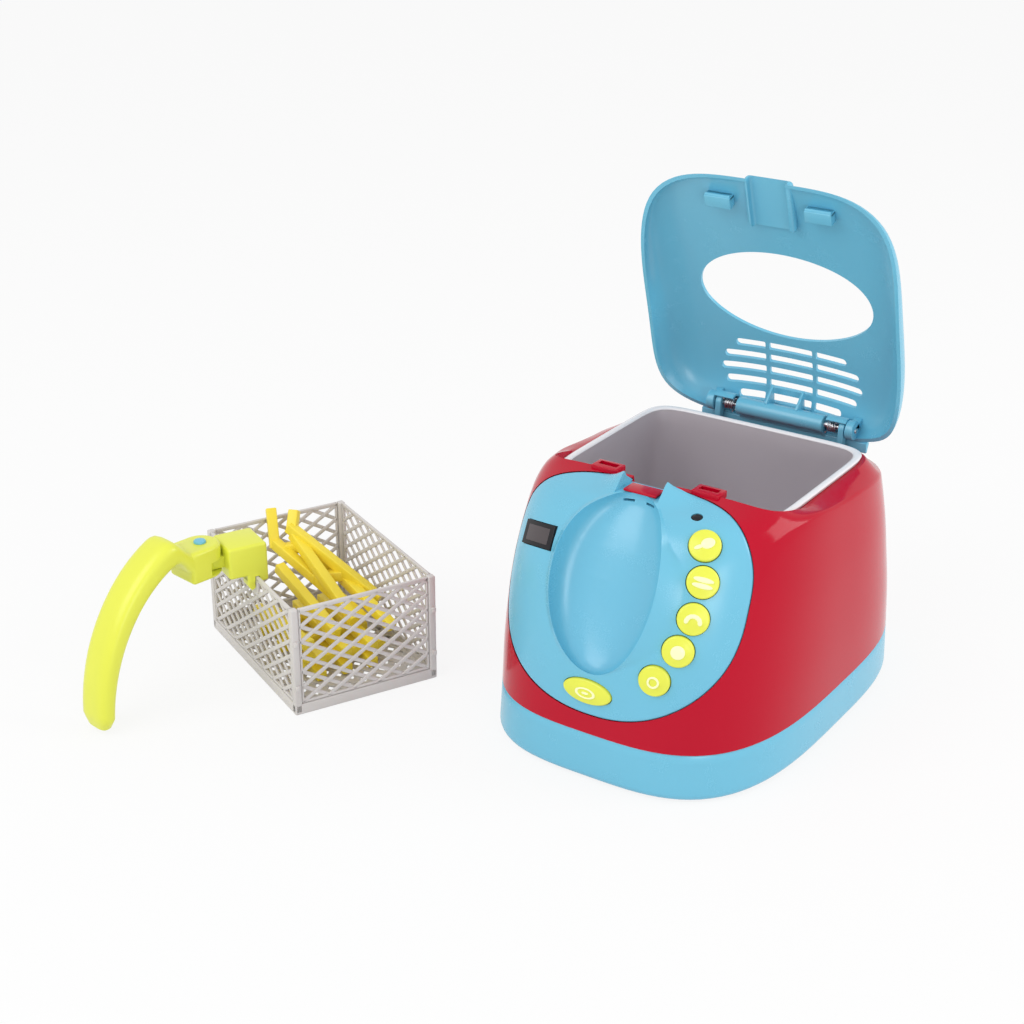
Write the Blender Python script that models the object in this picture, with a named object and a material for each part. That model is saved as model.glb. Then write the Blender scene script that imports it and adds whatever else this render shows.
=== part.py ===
"""Toy air fryer: a rounded two-colour body with a button panel, a tub and a sprung lid,
and a lift-out lattice basket that holds moulded fries and has a swivelling handle.

Metres, +Z up, the panel faces -Y. The origin is the middle of the body's underside.
"""

import math

import bmesh
import bpy
import numpy as np
from mathutils import Matrix, Vector
from mathutils.bvhtree import BVHTree

# Fits shared by the whole toy
seat_gap = 0.0003
slide_gap = 0.0004
cut_overrun = 0.004
ring_points = 48

# Body: reaches from the tub's axis, heights and powers of the rounded plan
body_half_width = 0.085
body_front_reach = 0.124
body_back_reach = 0.9113 * body_front_reach
body_height = 0.142
body_height_shares = (0.0, 0.18, 0.39, 0.54, 0.68, 0.81, 0.88, 0.93, 0.965, 1.0)
body_width_shares = (1.0, 1.0, 0.998, 0.988, 0.972, 0.947, 0.932, 0.918, 0.9, 0.86)
body_front_shares = (1.0, 0.988, 0.982, 0.9645, 0.923, 0.864, 0.819, 0.774, 0.742, 0.69)
body_back_shares = (1.0, 0.991, 0.97, 0.938, 0.9, 0.86, 0.832, 0.81, 0.8, 0.785)
body_power_low = 3.3
body_power_high = 3.0
body_wall = 0.0024
body_front_wall = 0.0052
seam_height = 0.026
underside_round = 0.004
base_floor = 0.0026

# Brow: the crease where the side walls turn into the top, low at the back
brow_reach_shares = (-0.80, -0.56, -0.44, -0.32, -0.24, -0.16, -0.08, 0.0, 0.18, 0.33, 0.47, 0.62, 0.73, 0.84)
brow_height_shares = (0.972, 0.965, 0.96, 0.951, 0.944, 0.933, 0.923, 0.915, 0.905, 0.89, 0.87, 0.85, 0.838,
                      0.83)
brow_side_round = 0.0016
brow_front_round = 0.009
shelf_margin = 0.003
shelf_front_rise = 0.0092
shelf_side_drop = 0.0018

# Tub
tub_side_margin = 0.019
tub_half_width = body_half_width - tub_side_margin
tub_half_depth = 0.4661 * body_front_reach
tub_power = 9.0
rim_drop = 0.007
rim_height = body_height - rim_drop
shelf_front_height = rim_height + shelf_front_rise
shelf_side_height = rim_height - shelf_side_drop
lip_width = 0.003
lip_height = 0.0016
lip_overhang = 0.0012
tub_wall = 0.0014
tub_depth = 0.065
tub_floor_height = rim_height - tub_depth
tub_floor = 0.002
tub_draft = 0.0005

# Front panel: an outline drawn on a tilted plane and projected onto the body
panel_tilt = math.radians(35.0)
panel_origin_y = -0.8065 * body_front_reach
panel_origin_z = 0.634 * body_height
panel_centre = -0.0915 * body_height
panel_half_width = 0.8 * body_half_width
panel_top_margin = 0.0019
shelf_climb = (math.sin(panel_tilt) * (-tub_half_depth - shelf_margin - panel_origin_y)
               + math.cos(panel_tilt) * (shelf_front_height - panel_origin_z))
panel_up_reach = shelf_climb + panel_centre - panel_top_margin
panel_down_reach = 0.4838 * body_height
panel_up_power = 3.1
panel_down_power = 2.25
panel_thickness = 0.0022
panel_edge_gap = 0.0005
panel_seat_gap = 0.0009
panel_ledge = 0.005
panel_room_depth = 0.0085
panel_bowl_room = 0.0012
scoop_centre = -0.0704 * body_height
scoop_half_width = 0.3588 * body_half_width
scoop_half_height = 0.3275 * body_height
scoop_depth = 0.272 * (body_front_reach - tub_half_depth)
scoop_power = 0.45
ridge_rise = 0.0016
ridge_width = 0.0075
horn_rise = 0.0052
horn_width = 0.013
horn_start = -0.317 * body_height
notch_half_width = 0.0125
notch_rise = 0.007
notch_height = rim_height + notch_rise
tab_half_width = 0.0095
tab_reach = 0.0187
tab_front = -tub_half_depth - tab_reach
tab_rise = 0.0028
tab_height = notch_height + tab_rise
slot_half_width = 0.0028
slot_height = 0.0013
slot_place = 0.0062
slot_drop = 0.005

# Buttons, display and lamp: places as shares of the panel's half width and the body's height
button_radius = 0.057 * body_height
button_place_shares = ((0.665, -0.278), (0.7235, -0.155), (0.716, -0.0268), (0.657, 0.093), (0.519, 0.212))
button_proud = 0.0022
button_ear = 0.0012
button_ear_height = 0.0012
button_ear_drop = 0.0023
start_place_shares = (-0.0088, 0.317)
start_half_width = 0.014
start_half_height = 0.0465 * body_height
display_place_shares = (-0.681, -0.1613)
display_half_width = 0.0125
display_half_height = 0.0444 * body_height
display_depth = 0.0016
lamp_place_shares = (0.507, -0.371)
lamp_radius = 0.0024
lamp_length = 0.006

# Lid, sizes of the closed lid around the hinge
hinge_y = 0.7363 * body_back_reach
hinge_drop = 0.001
hinge_z = rim_height - hinge_drop
lid_open = math.radians(71.0)
lid_centre_y = 0.1327 * body_back_reach
lid_side_margin = 0.0108
lid_half_width = tub_half_width + lid_side_margin
lid_front_margin = 0.0057
lid_front_reach = lid_centre_y + tub_half_depth + lid_front_margin
lid_tail_reach = 0.0093
lid_back_reach = hinge_y + lid_tail_reach - lid_centre_y
lid_power = 4.2
lid_crown_rise = 0.0205
lid_crown = rim_height + lid_crown_rise
lid_crown_fall = 0.006
lid_edge_gap = 0.0009
lid_ear_drop = 0.0138
lid_ear_height = rim_height - lid_ear_drop
lid_tail_height = hinge_z
lid_tail_half_width = 0.050
lid_wall = 0.002
lid_dome_power = 5.0
lid_hole_half_width = 0.0525
lid_hole_half_depth = 0.028
vent_rows = 5
vent_pitch = 0.0078
vent_height = 0.0048
vent_hinge_gap = 0.0037
vent_rib = 0.0022
vent_inner_half_width = 0.013
vent_width_shares = (0.78, 0.95, 1.0, 0.93, 0.73)
vent_half_width = 0.044
vent_sag = 0.0022
hook_place = 0.031
hook_half_width = 0.0078
hook_inset = 0.0116
hook_y = hook_inset - tub_half_depth
hook_thickness = 0.0018
hook_tip_drop = 0.0005
hook_tip_height = shelf_front_height - hook_tip_drop
catch_reach = 0.0042
catch_inset = 0.0083
catch_rise = 0.0006
catch_height = shelf_front_height + catch_rise
catch_thickness = 0.0036
boss_half_width = 0.0118
boss_length = 0.034
boss_drop = 0.0035
lid_notch_drop = 0.004
lid_notch_height = lid_crown - lid_notch_drop

# Hinge
pin_radius = 0.0015
pin_half_length = 0.0465
barrel_radius = 0.005
barrel_half_length = 0.027
knuckle_radius = 0.0055
knuckle_inner = 0.0412
knuckle_outer = 0.0458
lug_radius = 0.0042
lug_foot_back = 0.002
lug_sink = 0.0015
lug_inner = 0.0362
lug_outer = 0.0406
bore_gap = 0.0002
gusset_place = 0.0095
gusset_thickness = 0.0016
spring_wire = 0.0004
spring_radius = 0.0031
spring_turns = 4.5
spring_pitch = 0.00135
spring_start = 0.0288
spring_leg = 0.0036

# Inside the body
cell_radius = 0.0072
cell_length = 0.050
cell_count = 3
battery_y = 0.046
battery_wall = 0.0016
cover_thickness = 0.0018
cover_margin = 0.004
screw_radius = 0.0015
screw_head_radius = 0.0029
screw_head = 0.0018
speaker_radius = 0.019
speaker_height = 0.007
speaker_y = -0.055
speaker_hole_radius = 0.0018
speaker_hole_rings = 1
speaker_hole_pitch = 0.0085
board_half_width = 0.012
board_half_height = 0.028
board_thickness = 0.0016
board_place_shares = (0.647, -0.0493)
board_depth = 1.5 * scoop_depth
foot_radius = 0.006
foot_height = 0.0026
foot_standout = 0.001
foot_margin = 0.027
foot_x = body_half_width - foot_margin
foot_front_y = -0.075
foot_back_y = 0.080
boss_radius = 0.0036
boss_margin = 0.019
boss_x = body_half_width - boss_margin
boss_front_y = -0.058
boss_back_y = 0.066

# Basket
basket_x = -0.200
basket_y = -0.091
basket_turn = math.radians(-26.2)
basket_length = 0.1205
basket_width = 0.087
basket_height = 0.064
post_width = 0.0042
band_height = 0.0062
band_thickness = 0.0024
basket_floor = 0.0018
wall_thickness = 0.0018
rail_height = 0.002
lattice_pitch = 0.0228
lattice_rise = 0.0156
lattice_bar = 0.002
floor_lattice_pitch = 0.0285
floor_lattice_rise = 0.024
floor_lattice_bar = 0.0024
plate_half_width = 0.0135
plate_drop = 0.030
wall_tab_half_width = 0.0105
wall_tab_rise = 0.006
snap_lug = 0.003
snap_lug_reach = 0.0016
snap_lug_shares = (0.24, 0.66)

# Handle
clip_half_width = 0.012
clip_inside = 0.0055
clip_outside = 0.0148
clip_top = 0.0835
clip_bottom = 0.0555
clip_leg = 0.003
claw_half_width = 0.004
claw_drop = 0.009
pivot_out = 0.0262
pivot_radius = 0.002
pivot_top = 0.0885
pivot_cap_radius = 0.0045
pivot_cap_height = 0.0012
tongue_radius = 0.0082
neck_half_width = 0.0048
mouth_back = 0.0012
tongue_bottom = 0.0705
tongue_top = 0.0775
fork_bottom = 0.0625
fork_top = 0.0865
arm_swing = math.radians(16.2)
arm_root = 0.008
arm_reach = 0.066
arm_rise = 0.0835
arm_half_width = 0.011
arm_root_half_depth = 0.0082
arm_tip_half_depth = 0.0048
arm_power = 3.2
arm_stations = 15
arm_start_share = 0.10
arm_tip_lift = 0.0008

# Fries: stick ends in the basket's own axes (along, across, up)
fry_half = 0.003
fry_layer_count = 3
fry_layer_sink = 0.0006
fry_layer_long = 0.070
fry_layer_short = 0.056
fry_layer_x = 0.016
fry_layer_y = 0.010
upper_fries = (
    ((-0.050, -0.006, 0.066), (-0.012, -0.020, 0.036)),
    ((-0.033, -0.013, 0.054), (0.004, 0.018, 0.034)),
    ((-0.047, 0.008, 0.065), (-0.004, 0.030, 0.034)),
    ((-0.041, -0.012, 0.060), (-0.041, 0.016, 0.060)),
    ((-0.040, 0.001, 0.060), (0.008, 0.024, 0.041)),
    ((-0.014, -0.024, 0.038), (-0.008, 0.030, 0.036)),
)

red = ("red_plastic", (0.54, 0.005, 0.03), 0.22, 0.0)
blue = ("blue_plastic", (0.13, 0.45, 0.61), 0.30, 0.0)
tub_grey = ("tub_grey_plastic", (0.47, 0.43, 0.46), 0.35, 0.0)
basket_grey = ("basket_grey_plastic", (0.40, 0.37, 0.37), 0.45, 0.0)
lime = ("lime_plastic", (0.73, 0.80, 0.07), 0.32, 0.0)
yellow = ("fry_yellow_plastic", (0.83, 0.55, 0.03), 0.45, 0.0)
dark = ("dark_window", (0.03, 0.03, 0.035), 0.12, 0.0)
steel = ("steel", (0.62, 0.62, 0.64), 0.25, 1.0)
rubber = ("black_rubber", (0.03, 0.03, 0.03), 0.8, 0.0)
board_green = ("board_green", (0.03, 0.22, 0.08), 0.5, 0.0)
cell_label = ("cell_jacket", (0.10, 0.10, 0.12), 0.35, 0.2)


# Objects and materials

def material(spec):
    name, colour, roughness, metallic = spec
    made = bpy.data.materials.get(name)
    if made is None:
        made = bpy.data.materials.new(name)
        made.use_nodes = True
        shader = made.node_tree.nodes["Principled BSDF"]
        shader.inputs["Base Color"].default_value = (*colour, 1.0)
        shader.inputs["Roughness"].default_value = roughness
        shader.inputs["Metallic"].default_value = metallic
        made.diffuse_color = (*colour, 1.0)
    return made


def add_object(name, bm, spec, parent=None, place=None, smooth=True):
    bmesh.ops.recalc_face_normals(bm, faces=bm.faces)
    if bm.calc_volume(signed=True) < 0.0:
        bmesh.ops.reverse_faces(bm, faces=bm.faces)
    mesh = bpy.data.meshes.new(name)
    bm.to_mesh(mesh)
    bm.free()
    if smooth:
        mesh.shade_smooth()
        mesh.set_sharp_from_angle(angle=math.radians(32.0))
    made = bpy.data.objects.new(name, mesh)
    bpy.context.scene.collection.objects.link(made)
    if spec is not None:
        mesh.materials.append(material(spec))
    if parent is not None:
        made.parent = parent
    if place is not None:
        made.location = place
    return made


def add_empty(name, place, turn=(0.0, 0.0, 0.0), parent=None):
    made = bpy.data.objects.new(name, None)
    made.location = place
    made.rotation_euler = turn
    made.parent = parent
    bpy.context.scene.collection.objects.link(made)
    return made


def combine(target, name, bm, operation="DIFFERENCE"):
    """Cut or join the closed shape bm with target, through a hidden guide object."""
    guide = add_object(target.name + "_" + name, bm, None, parent=target.parent, smooth=False)
    guide.location = target.location
    guide.rotation_euler = target.rotation_euler
    guide.hide_render = True
    guide.display_type = "WIRE"
    step = target.modifiers.new(name, "BOOLEAN")
    step.operation = operation
    step.object = guide
    return guide


# Closed shapes

def add_loft(bm, rings):
    """Bridge closed rings of equal length and cap the first and the last."""
    loops = [[bm.verts.new(point) for point in ring] for ring in rings]
    for low, high in zip(loops, loops[1:]):
        for i in range(len(low)):
            j = (i + 1) % len(low)
            bm.faces.new((low[i], low[j], high[j], high[i]))
    bm.faces.new(list(reversed(loops[0])))
    bm.faces.new(loops[-1])
    return bm


def loft(rings):
    return add_loft(bmesh.new(), rings)


def add_box(bm, low, high):
    corners = [Vector((x, y, z)) for z in (low[2], high[2])
               for x, y in ((low[0], low[1]), (high[0], low[1]), (high[0], high[1]), (low[0], high[1]))]
    return add_loft(bm, [corners[:4], corners[4:]])


def box(low, high):
    return add_box(bmesh.new(), low, high)


def add_rod(bm, start, end, radius, sides=20, end_radius=None):
    start, end = Vector(start), Vector(end)
    turn = (end - start).to_track_quat("Z", "Y")
    tip = radius if end_radius is None else end_radius
    rings = []
    for centre, size in ((start, radius), (end, tip)):
        rings.append([centre + turn @ Vector((size * math.cos(a), size * math.sin(a), 0.0))
                      for a in np.linspace(0.0, 2.0 * math.pi, sides, endpoint=False)])
    return add_loft(bm, rings)


def rod(start, end, radius, sides=20, end_radius=None):
    return add_rod(bmesh.new(), start, end, radius, sides, end_radius)


def add_turned(bm, centre, turn, profile, sides=24, stretch=(1.0, 1.0)):
    """Turn a (radius, height) profile about an axis, open towards neither end."""
    rings = []
    for radius, height in profile:
        rings.append([centre + turn @ Vector((radius * stretch[0] * math.cos(a),
                                              radius * stretch[1] * math.sin(a), height))
                      for a in np.linspace(0.0, 2.0 * math.pi, sides, endpoint=False)])
    return add_loft(bm, rings)


def add_outline(bm, outline, low, high):
    """Stand a closed (x, y) outline between two heights."""
    return add_loft(bm, [[Vector((x, y, low)) for x, y in outline],
                         [Vector((x, y, high)) for x, y in outline]])


# Curves

def smooth_curve(places, values, at):
    """Value at a place on the smooth curve through the given points."""
    places = np.asarray(places, float)
    values = np.asarray(values, float)
    slopes = np.gradient(values, places)
    at = min(max(at, places[0]), places[-1])
    i = min(int(np.searchsorted(places, at, side="right")) - 1, len(places) - 2)
    span = places[i + 1] - places[i]
    t = (at - places[i]) / span
    return float(values[i] * (1.0 + 2.0 * t) * (1.0 - t) ** 2 + slopes[i] * span * t * (1.0 - t) ** 2
                 + values[i + 1] * t * t * (3.0 - 2.0 * t) + slopes[i + 1] * span * t * t * (t - 1.0))


def smooth_step(value, low, high):
    t = min(max((value - low) / (high - low), 0.0), 1.0)
    return t * t * (3.0 - 2.0 * t)


def ring_angles(count=ring_points):
    return [2.0 * math.pi * (i + 0.5) / count for i in range(count)]


def rounded_reach(angle, half_x, front, back, power):
    """Distance from the axis to a rounded-rectangle outline, at a plan angle."""
    c, s = math.cos(angle), math.sin(angle)
    half_y = back if s > 0.0 else front
    return (abs(c / half_x) ** power + abs(s / half_y) ** power) ** (-1.0 / power)


# Body form

def body_at(height, shares, size):
    return size * smooth_curve(body_height_shares, shares, height / body_height)


def body_power(height):
    return body_power_low + (body_power_high - body_power_low) * min(height / (body_height / 2.0), 1.0)


def body_reach(angle, height):
    return rounded_reach(angle, body_at(height, body_width_shares, body_half_width),
                         body_at(height, body_front_shares, body_front_reach),
                         body_at(height, body_back_shares, body_back_reach), body_power(height))


def frontness(angle):
    return smooth_step(-math.sin(angle), 0.25, 0.85)


def brow_height(y):
    reach = body_front_reach if y < 0.0 else body_back_reach
    return body_height * smooth_curve(brow_reach_shares, brow_height_shares, y / reach)


def brow_point(angle):
    """Where the side wall meets the brow's height, found by halving."""
    low, high = seam_height, body_height
    for _ in range(30):
        middle = (low + high) / 2.0
        if middle < brow_height(body_reach(angle, middle) * math.sin(angle)):
            low = middle
        else:
            high = middle
    return body_reach(angle, low), low


def polar(angle, reach, height):
    return Vector((reach * math.cos(angle), reach * math.sin(angle), height))


def tub_reach(angle, inset=0.0):
    depth = tub_half_depth - inset
    return rounded_reach(angle, tub_half_width - inset, depth, depth, tub_power)


def shelf_point(angle):
    front = frontness(angle)
    height = shelf_side_height + (shelf_front_height - shelf_side_height) * front
    return tub_reach(angle) + shelf_margin, height


def body_rings(bottom, wall_steps=6):
    """Rings of the outer form from the bottom height up over the brow to the shelf around the tub."""
    angles = ring_angles()
    turns = []
    for angle in angles:
        reach, height = brow_point(angle)
        shelf_reach, shelf_height = shelf_point(angle)
        bend = brow_side_round + (brow_front_round - brow_side_round) * frontness(angle)
        below = polar(angle, body_reach(angle, height - bend), height - bend)
        corner = polar(angle, reach, height)
        shelf = polar(angle, shelf_reach, shelf_height)
        beyond = corner + (shelf - corner).normalized() * bend
        turns.append((below, corner, beyond, shelf))
    rings = []
    for step in range(wall_steps):
        ring = []
        for angle, (below, corner, beyond, shelf) in zip(angles, turns):
            height = bottom + (below.z - bottom) * step / wall_steps
            ring.append(polar(angle, body_reach(angle, height), height))
        rings.append(ring)
    for t in (0.0, 0.35, 0.7, 1.0):
        rings.append([below * (1.0 - t) ** 2 + corner * 2.0 * t * (1.0 - t) + beyond * t * t
                      for below, corner, beyond, shelf in turns])
    rings.append([(beyond * 0.45 + shelf * 0.55) for below, corner, beyond, shelf in turns])
    rings.append([shelf for below, corner, beyond, shelf in turns])
    return rings


def outer_form(bottom):
    seat_height = rim_height - lip_height - seat_gap
    rings = body_rings(bottom)
    rings.append([polar(angle, tub_reach(angle) + seat_gap, seat_height) for angle in ring_angles()])
    return loft(rings)


# Panel surface

def panel_down():
    return Vector((0.0, -math.sin(panel_tilt), -math.cos(panel_tilt)))


def panel_out():
    return Vector((0.0, -math.cos(panel_tilt), math.sin(panel_tilt)))


def horn_lift(x, t):
    near = min(max(1.0 - (abs(x) - notch_half_width) / horn_width, 0.0), 1.0)
    return horn_rise * near ** 1.5 * smooth_step(-t, -horn_start, panel_up_reach - panel_centre)


def body_surface(x, t):
    """Point and outward normal where the panel's plane coordinates fall on the body form."""
    origin = Vector((x, panel_origin_y, panel_origin_z)) + panel_down() * t + panel_out() * body_front_reach
    point, normal, _, _ = body_tree.ray_cast(origin, -panel_out())
    return point, normal


def panel_point(x, t, depth=0.0):
    point, _ = body_surface(x, t)
    return point - panel_out() * depth


def panel_outline_point(angle, grow=0.0):
    power = panel_up_power if math.sin(angle) > 0.0 else panel_down_power
    reach = rounded_reach(angle, panel_half_width + grow, panel_down_reach + grow, panel_up_reach + grow,
                          power)
    return reach * math.cos(angle), panel_centre - reach * math.sin(angle)


def scoop_point(angle, share, grow=0.0):
    return ((scoop_half_width + grow) * share * math.cos(angle),
            scoop_centre - (scoop_half_height + grow) * share * math.sin(angle))


def mix(a, b, t):
    return a[0] + (b[0] - a[0]) * t, a[1] + (b[1] - a[1]) * t


def scoop_fall(share):
    return scoop_depth * max(1.0 - share * share, 0.0) ** scoop_power


front_shares = ((0.12, 0.42, 0.66, 0.83, 0.94, 1.0), (0.33, 0.66, 1.0))
back_shares = ((0.12, 0.5, 0.78, 0.93, 1.0), (0.5, 1.0))


def panel_rings(grow, depth, bowl_grow, shares=back_shares, deeper=0.0, outside=False):
    """Rings of one face of the panel, from the scoop's middle to the outline."""
    angles = ring_angles(40)
    top = panel_centre - panel_up_reach

    def surface(x, t, fall=0.0):
        lift = horn_lift(x, t) if outside else 0.0
        room = deeper * smooth_step(t, top, top + panel_up_reach / 2.0)
        return panel_point(x, t, depth + fall + room - lift)

    rings = []
    for share in shares[0]:
        places = [scoop_point(angle, share, bowl_grow) for angle in angles]
        ridge = ridge_rise if outside and share == 1.0 else 0.0
        rings.append([surface(x, t, scoop_fall(share) - ridge * math.cos(angle) ** 2)
                      for angle, (x, t) in zip(angles, places)])
    shoulder = [scoop_point(angle, 1.0, bowl_grow + ridge_width * math.cos(angle) ** 2 + lip_height)
                for angle in angles]
    rings.append([surface(x, t) for x, t in shoulder])
    for share in shares[1]:
        places = [mix(start, panel_outline_point(angle, grow), share)
                  for angle, start in zip(angles, shoulder)]
        rings.append([surface(x, t) for x, t in places])
    return rings


def panel_space(grow, depth, bowl_grow, deeper=0.0):
    """Closed space from the given depth behind the panel's surface out to well in front of it."""
    under = panel_rings(grow, depth, bowl_grow, deeper=deeper)
    reach = panel_out() * (scoop_depth * 2.0)
    over = [[point + reach for point in ring] for ring in panel_rings(grow, 0.0, bowl_grow)]
    return loft(over + list(reversed(under)))


def panel_place(shares):
    return shares[0] * panel_half_width, shares[1] * body_height


def button_frame(shares):
    """Centre on the surface and the turn that points +Z out of the panel and +Y up the panel."""
    span = button_radius / 2.0
    x, t = panel_place(shares)
    point = panel_point(x, t)
    across = panel_point(x + span, t) - panel_point(x - span, t)
    along = panel_point(x, t - span) - panel_point(x, t + span)
    out = across.cross(along).normalized()
    up = (along - out * along.dot(out)).normalized()
    turn = Matrix((up.cross(out), up, out)).transposed().to_quaternion()
    return point, turn


# Body pieces

def make_upper_housing():
    housing = add_object("upper_housing", outer_form(seam_height + seat_gap), red)
    angles = ring_angles()
    cavity = []
    for ring in body_rings(seam_height - cut_overrun, wall_steps=3):
        inner = []
        for angle, point in zip(angles, ring):
            wall = body_wall + (body_front_wall - body_wall) * frontness(angle)
            reach = max(point.xy.length - wall, tub_reach(angle) + body_wall)
            inner.append(polar(angle, reach, point.z - wall))
        cavity.append(inner)
    roof = rim_height - lip_height - body_front_wall
    cavity.append([polar(angle, tub_reach(angle) + body_wall / 2.0, roof) for angle in angles])
    combine(housing, "cavity", loft(cavity))
    tub_hole = loft([[polar(angle, tub_reach(angle, lip_overhang - slide_gap), height) for angle in angles]
                     for height in (tub_floor_height, rim_height + cut_overrun)])
    combine(housing, "tub_hole", tub_hole)
    catches = bmesh.new()
    for side in (-1.0, 1.0):
        low, high = side * hook_place - hook_half_width, side * hook_place + hook_half_width
        add_box(catches, (low, -tub_half_depth - catch_reach, catch_height - catch_thickness),
                (high, catch_inset - tub_half_depth, catch_height))
    combine(housing, "catches", catches, "UNION")
    lugs = bmesh.new()
    for side in (-1.0, 1.0):
        low, high = sorted((side * lug_inner, side * lug_outer))
        rings = []
        for x in (low, high):
            arch = [Vector((x, hinge_y + lug_radius * math.cos(a), hinge_z + lug_radius * math.sin(a)))
                    for a in np.linspace(0.0, math.pi, 9)]
            foot = [Vector((x, y, brow_height(hinge_y) + lug_sink))
                    for y in (hinge_y - lug_radius, hinge_y - lug_foot_back)]
            rings.append(arch + foot)
        add_loft(lugs, rings)
    combine(housing, "lugs", lugs, "UNION")
    reach = pin_half_length + cut_overrun
    bore = rod((-reach, hinge_y, hinge_z), (reach, hinge_y, hinge_z), pin_radius + bore_gap, 16)
    combine(housing, "pin_bore", bore)
    seat_depth = panel_thickness + panel_seat_gap
    combine(housing, "panel_recess", panel_space(panel_edge_gap, seat_depth, seat_depth))
    deep = panel_thickness + panel_bowl_room
    combine(housing, "panel_opening", panel_space(-panel_ledge, deep, deep, panel_room_depth))
    tab = box((-tab_half_width, tab_front, notch_height + seat_gap),
              (tab_half_width, -tub_half_depth - shelf_margin, tab_height))
    combine(housing, "tab", tab, "UNION")
    return housing


def make_base_shell():
    angles = ring_angles()
    rings = []
    for inset, height in ((underside_round, 0.0), (underside_round * 0.3, underside_round * 0.3),
                          (0.0, underside_round), (0.0, seam_height * 0.6), (0.0, seam_height)):
        rings.append([polar(angle, body_reach(angle, height) - inset, height) for angle in angles])
    base = add_object("base_shell", loft(rings), blue)
    cavity = [[polar(angle, body_reach(angle, height) - body_wall - inset, height) for angle in angles]
              for inset, height in ((underside_round, base_floor), (0.0, underside_round + base_floor),
                                    (0.0, seam_height + cut_overrun))]
    combine(base, "cavity", loft(cavity))
    posts = bmesh.new()
    for x, y in boss_places():
        add_rod(posts, (x, y, base_floor / 2.0), (x, y, seam_height - seat_gap), boss_radius, 14)
    combine(base, "posts", posts, "UNION")
    cuts = bmesh.new()
    for x, y in foot_places():
        add_rod(cuts, (x, y, -cut_overrun), (x, y, foot_height - foot_standout), foot_radius + seat_gap, 20)
    combine(base, "foot_pockets", cuts)
    wells = bmesh.new()
    shoulder = screw_head + seat_gap * 4.0
    profile = ((screw_head_radius + slide_gap, -cut_overrun), (screw_head_radius + slide_gap, shoulder),
               (screw_radius + seat_gap, shoulder), (screw_radius + seat_gap, seam_height + cut_overrun))
    for x, y in boss_places():
        add_turned(wells, Vector((x, y, 0.0)), Matrix.Identity(3), profile, 12)
    combine(base, "screw_wells", wells)
    return base


def boss_places():
    return [(side * boss_x, y) for y in (boss_front_y, boss_back_y) for side in (-1.0, 1.0)]


def foot_places():
    return [(side * foot_x, y) for y in (foot_front_y, foot_back_y) for side in (-1.0, 1.0)]


def make_feet():
    for i, (x, y) in enumerate(foot_places()):
        top = foot_height - foot_standout - seat_gap
        add_object("foot_%d" % (i + 1), rod((x, y, -foot_standout), (x, y, top), foot_radius, 20), rubber)


def make_housing_screws():
    for i, (x, y) in enumerate(boss_places()):
        low = seat_gap * 2.0
        profile = ((screw_head_radius, low), (screw_head_radius, low + screw_head - seat_gap * 2.0),
                   (screw_radius, low + screw_head), (screw_radius, seam_height - seat_gap * 2.0))
        bm = add_turned(bmesh.new(), Vector((x, y, 0.0)), Matrix.Identity(3), profile, 12)
        add_object("housing_screw_%d" % (i + 1), bm, steel)


def make_tub():
    angles = ring_angles()
    profile = ((tub_draft + lip_overhang, tub_floor_height), (lip_overhang, rim_height - lip_height),
               (0.0, rim_height - lip_height), (0.0, rim_height - lip_height * 0.35),
               (lip_height * 0.35, rim_height), (lip_width - lip_height * 0.25, rim_height),
               (lip_overhang + tub_wall, rim_height - lip_height),
               (tub_draft + lip_overhang + tub_wall, tub_floor_height + tub_floor))
    rings = [[polar(angle, tub_reach(angle, inset), height) for angle in angles] for inset, height in profile]
    add_object("tub_liner", loft(rings), tub_grey)


def make_panel():
    outside = panel_rings(0.0, 0.0, 0.0, front_shares, outside=True)
    behind = panel_rings(0.0, panel_thickness, panel_thickness)
    panel = add_object("front_panel", loft(outside + list(reversed(behind))), blue)
    notch = box((-notch_half_width, -body_front_reach, notch_height),
                (notch_half_width, 0.0, rim_height + body_height))
    combine(panel, "notch", notch)
    slots = bmesh.new()
    slot_level = notch_height - slot_drop
    for side in (-1.0, 1.0):
        add_box(slots, (side * slot_place - slot_half_width, -body_front_reach, slot_level),
                (side * slot_place + slot_half_width, -tub_half_depth, slot_level + slot_height))
    combine(panel, "slots", slots)
    through = ((1.0, cut_overrun * 2.0), (1.0, -cut_overrun * 2.0))
    for i, shares in enumerate(button_place_shares):
        point, turn = button_frame(shares)
        stretch = (button_radius + slide_gap, button_radius + slide_gap)
        combine(panel, "button_hole_%d" % (i + 1), add_turned(bmesh.new(), point, turn, through, 20, stretch))
    point, turn = button_frame(start_place_shares)
    stretch = (start_half_width + slide_gap, start_half_height + slide_gap)
    combine(panel, "start_hole", add_turned(bmesh.new(), point, turn, through, 24, stretch))
    point, turn = button_frame(lamp_place_shares)
    stretch = (lamp_radius + seat_gap, lamp_radius + seat_gap)
    combine(panel, "lamp_hole", add_turned(bmesh.new(), point, turn, through, 12, stretch))
    point, turn = button_frame(display_place_shares)
    half_x, half_y = display_half_width + seat_gap, display_half_height + seat_gap
    rings = [[point + turn @ Vector((side_x * half_x, side_y * half_y, depth))
              for side_x, side_y in ((-1, -1), (1, -1), (1, 1), (-1, 1))]
             for depth in (-cut_overrun * 2.0, cut_overrun * 2.0)]
    combine(panel, "display_hole", loft(rings))


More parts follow.
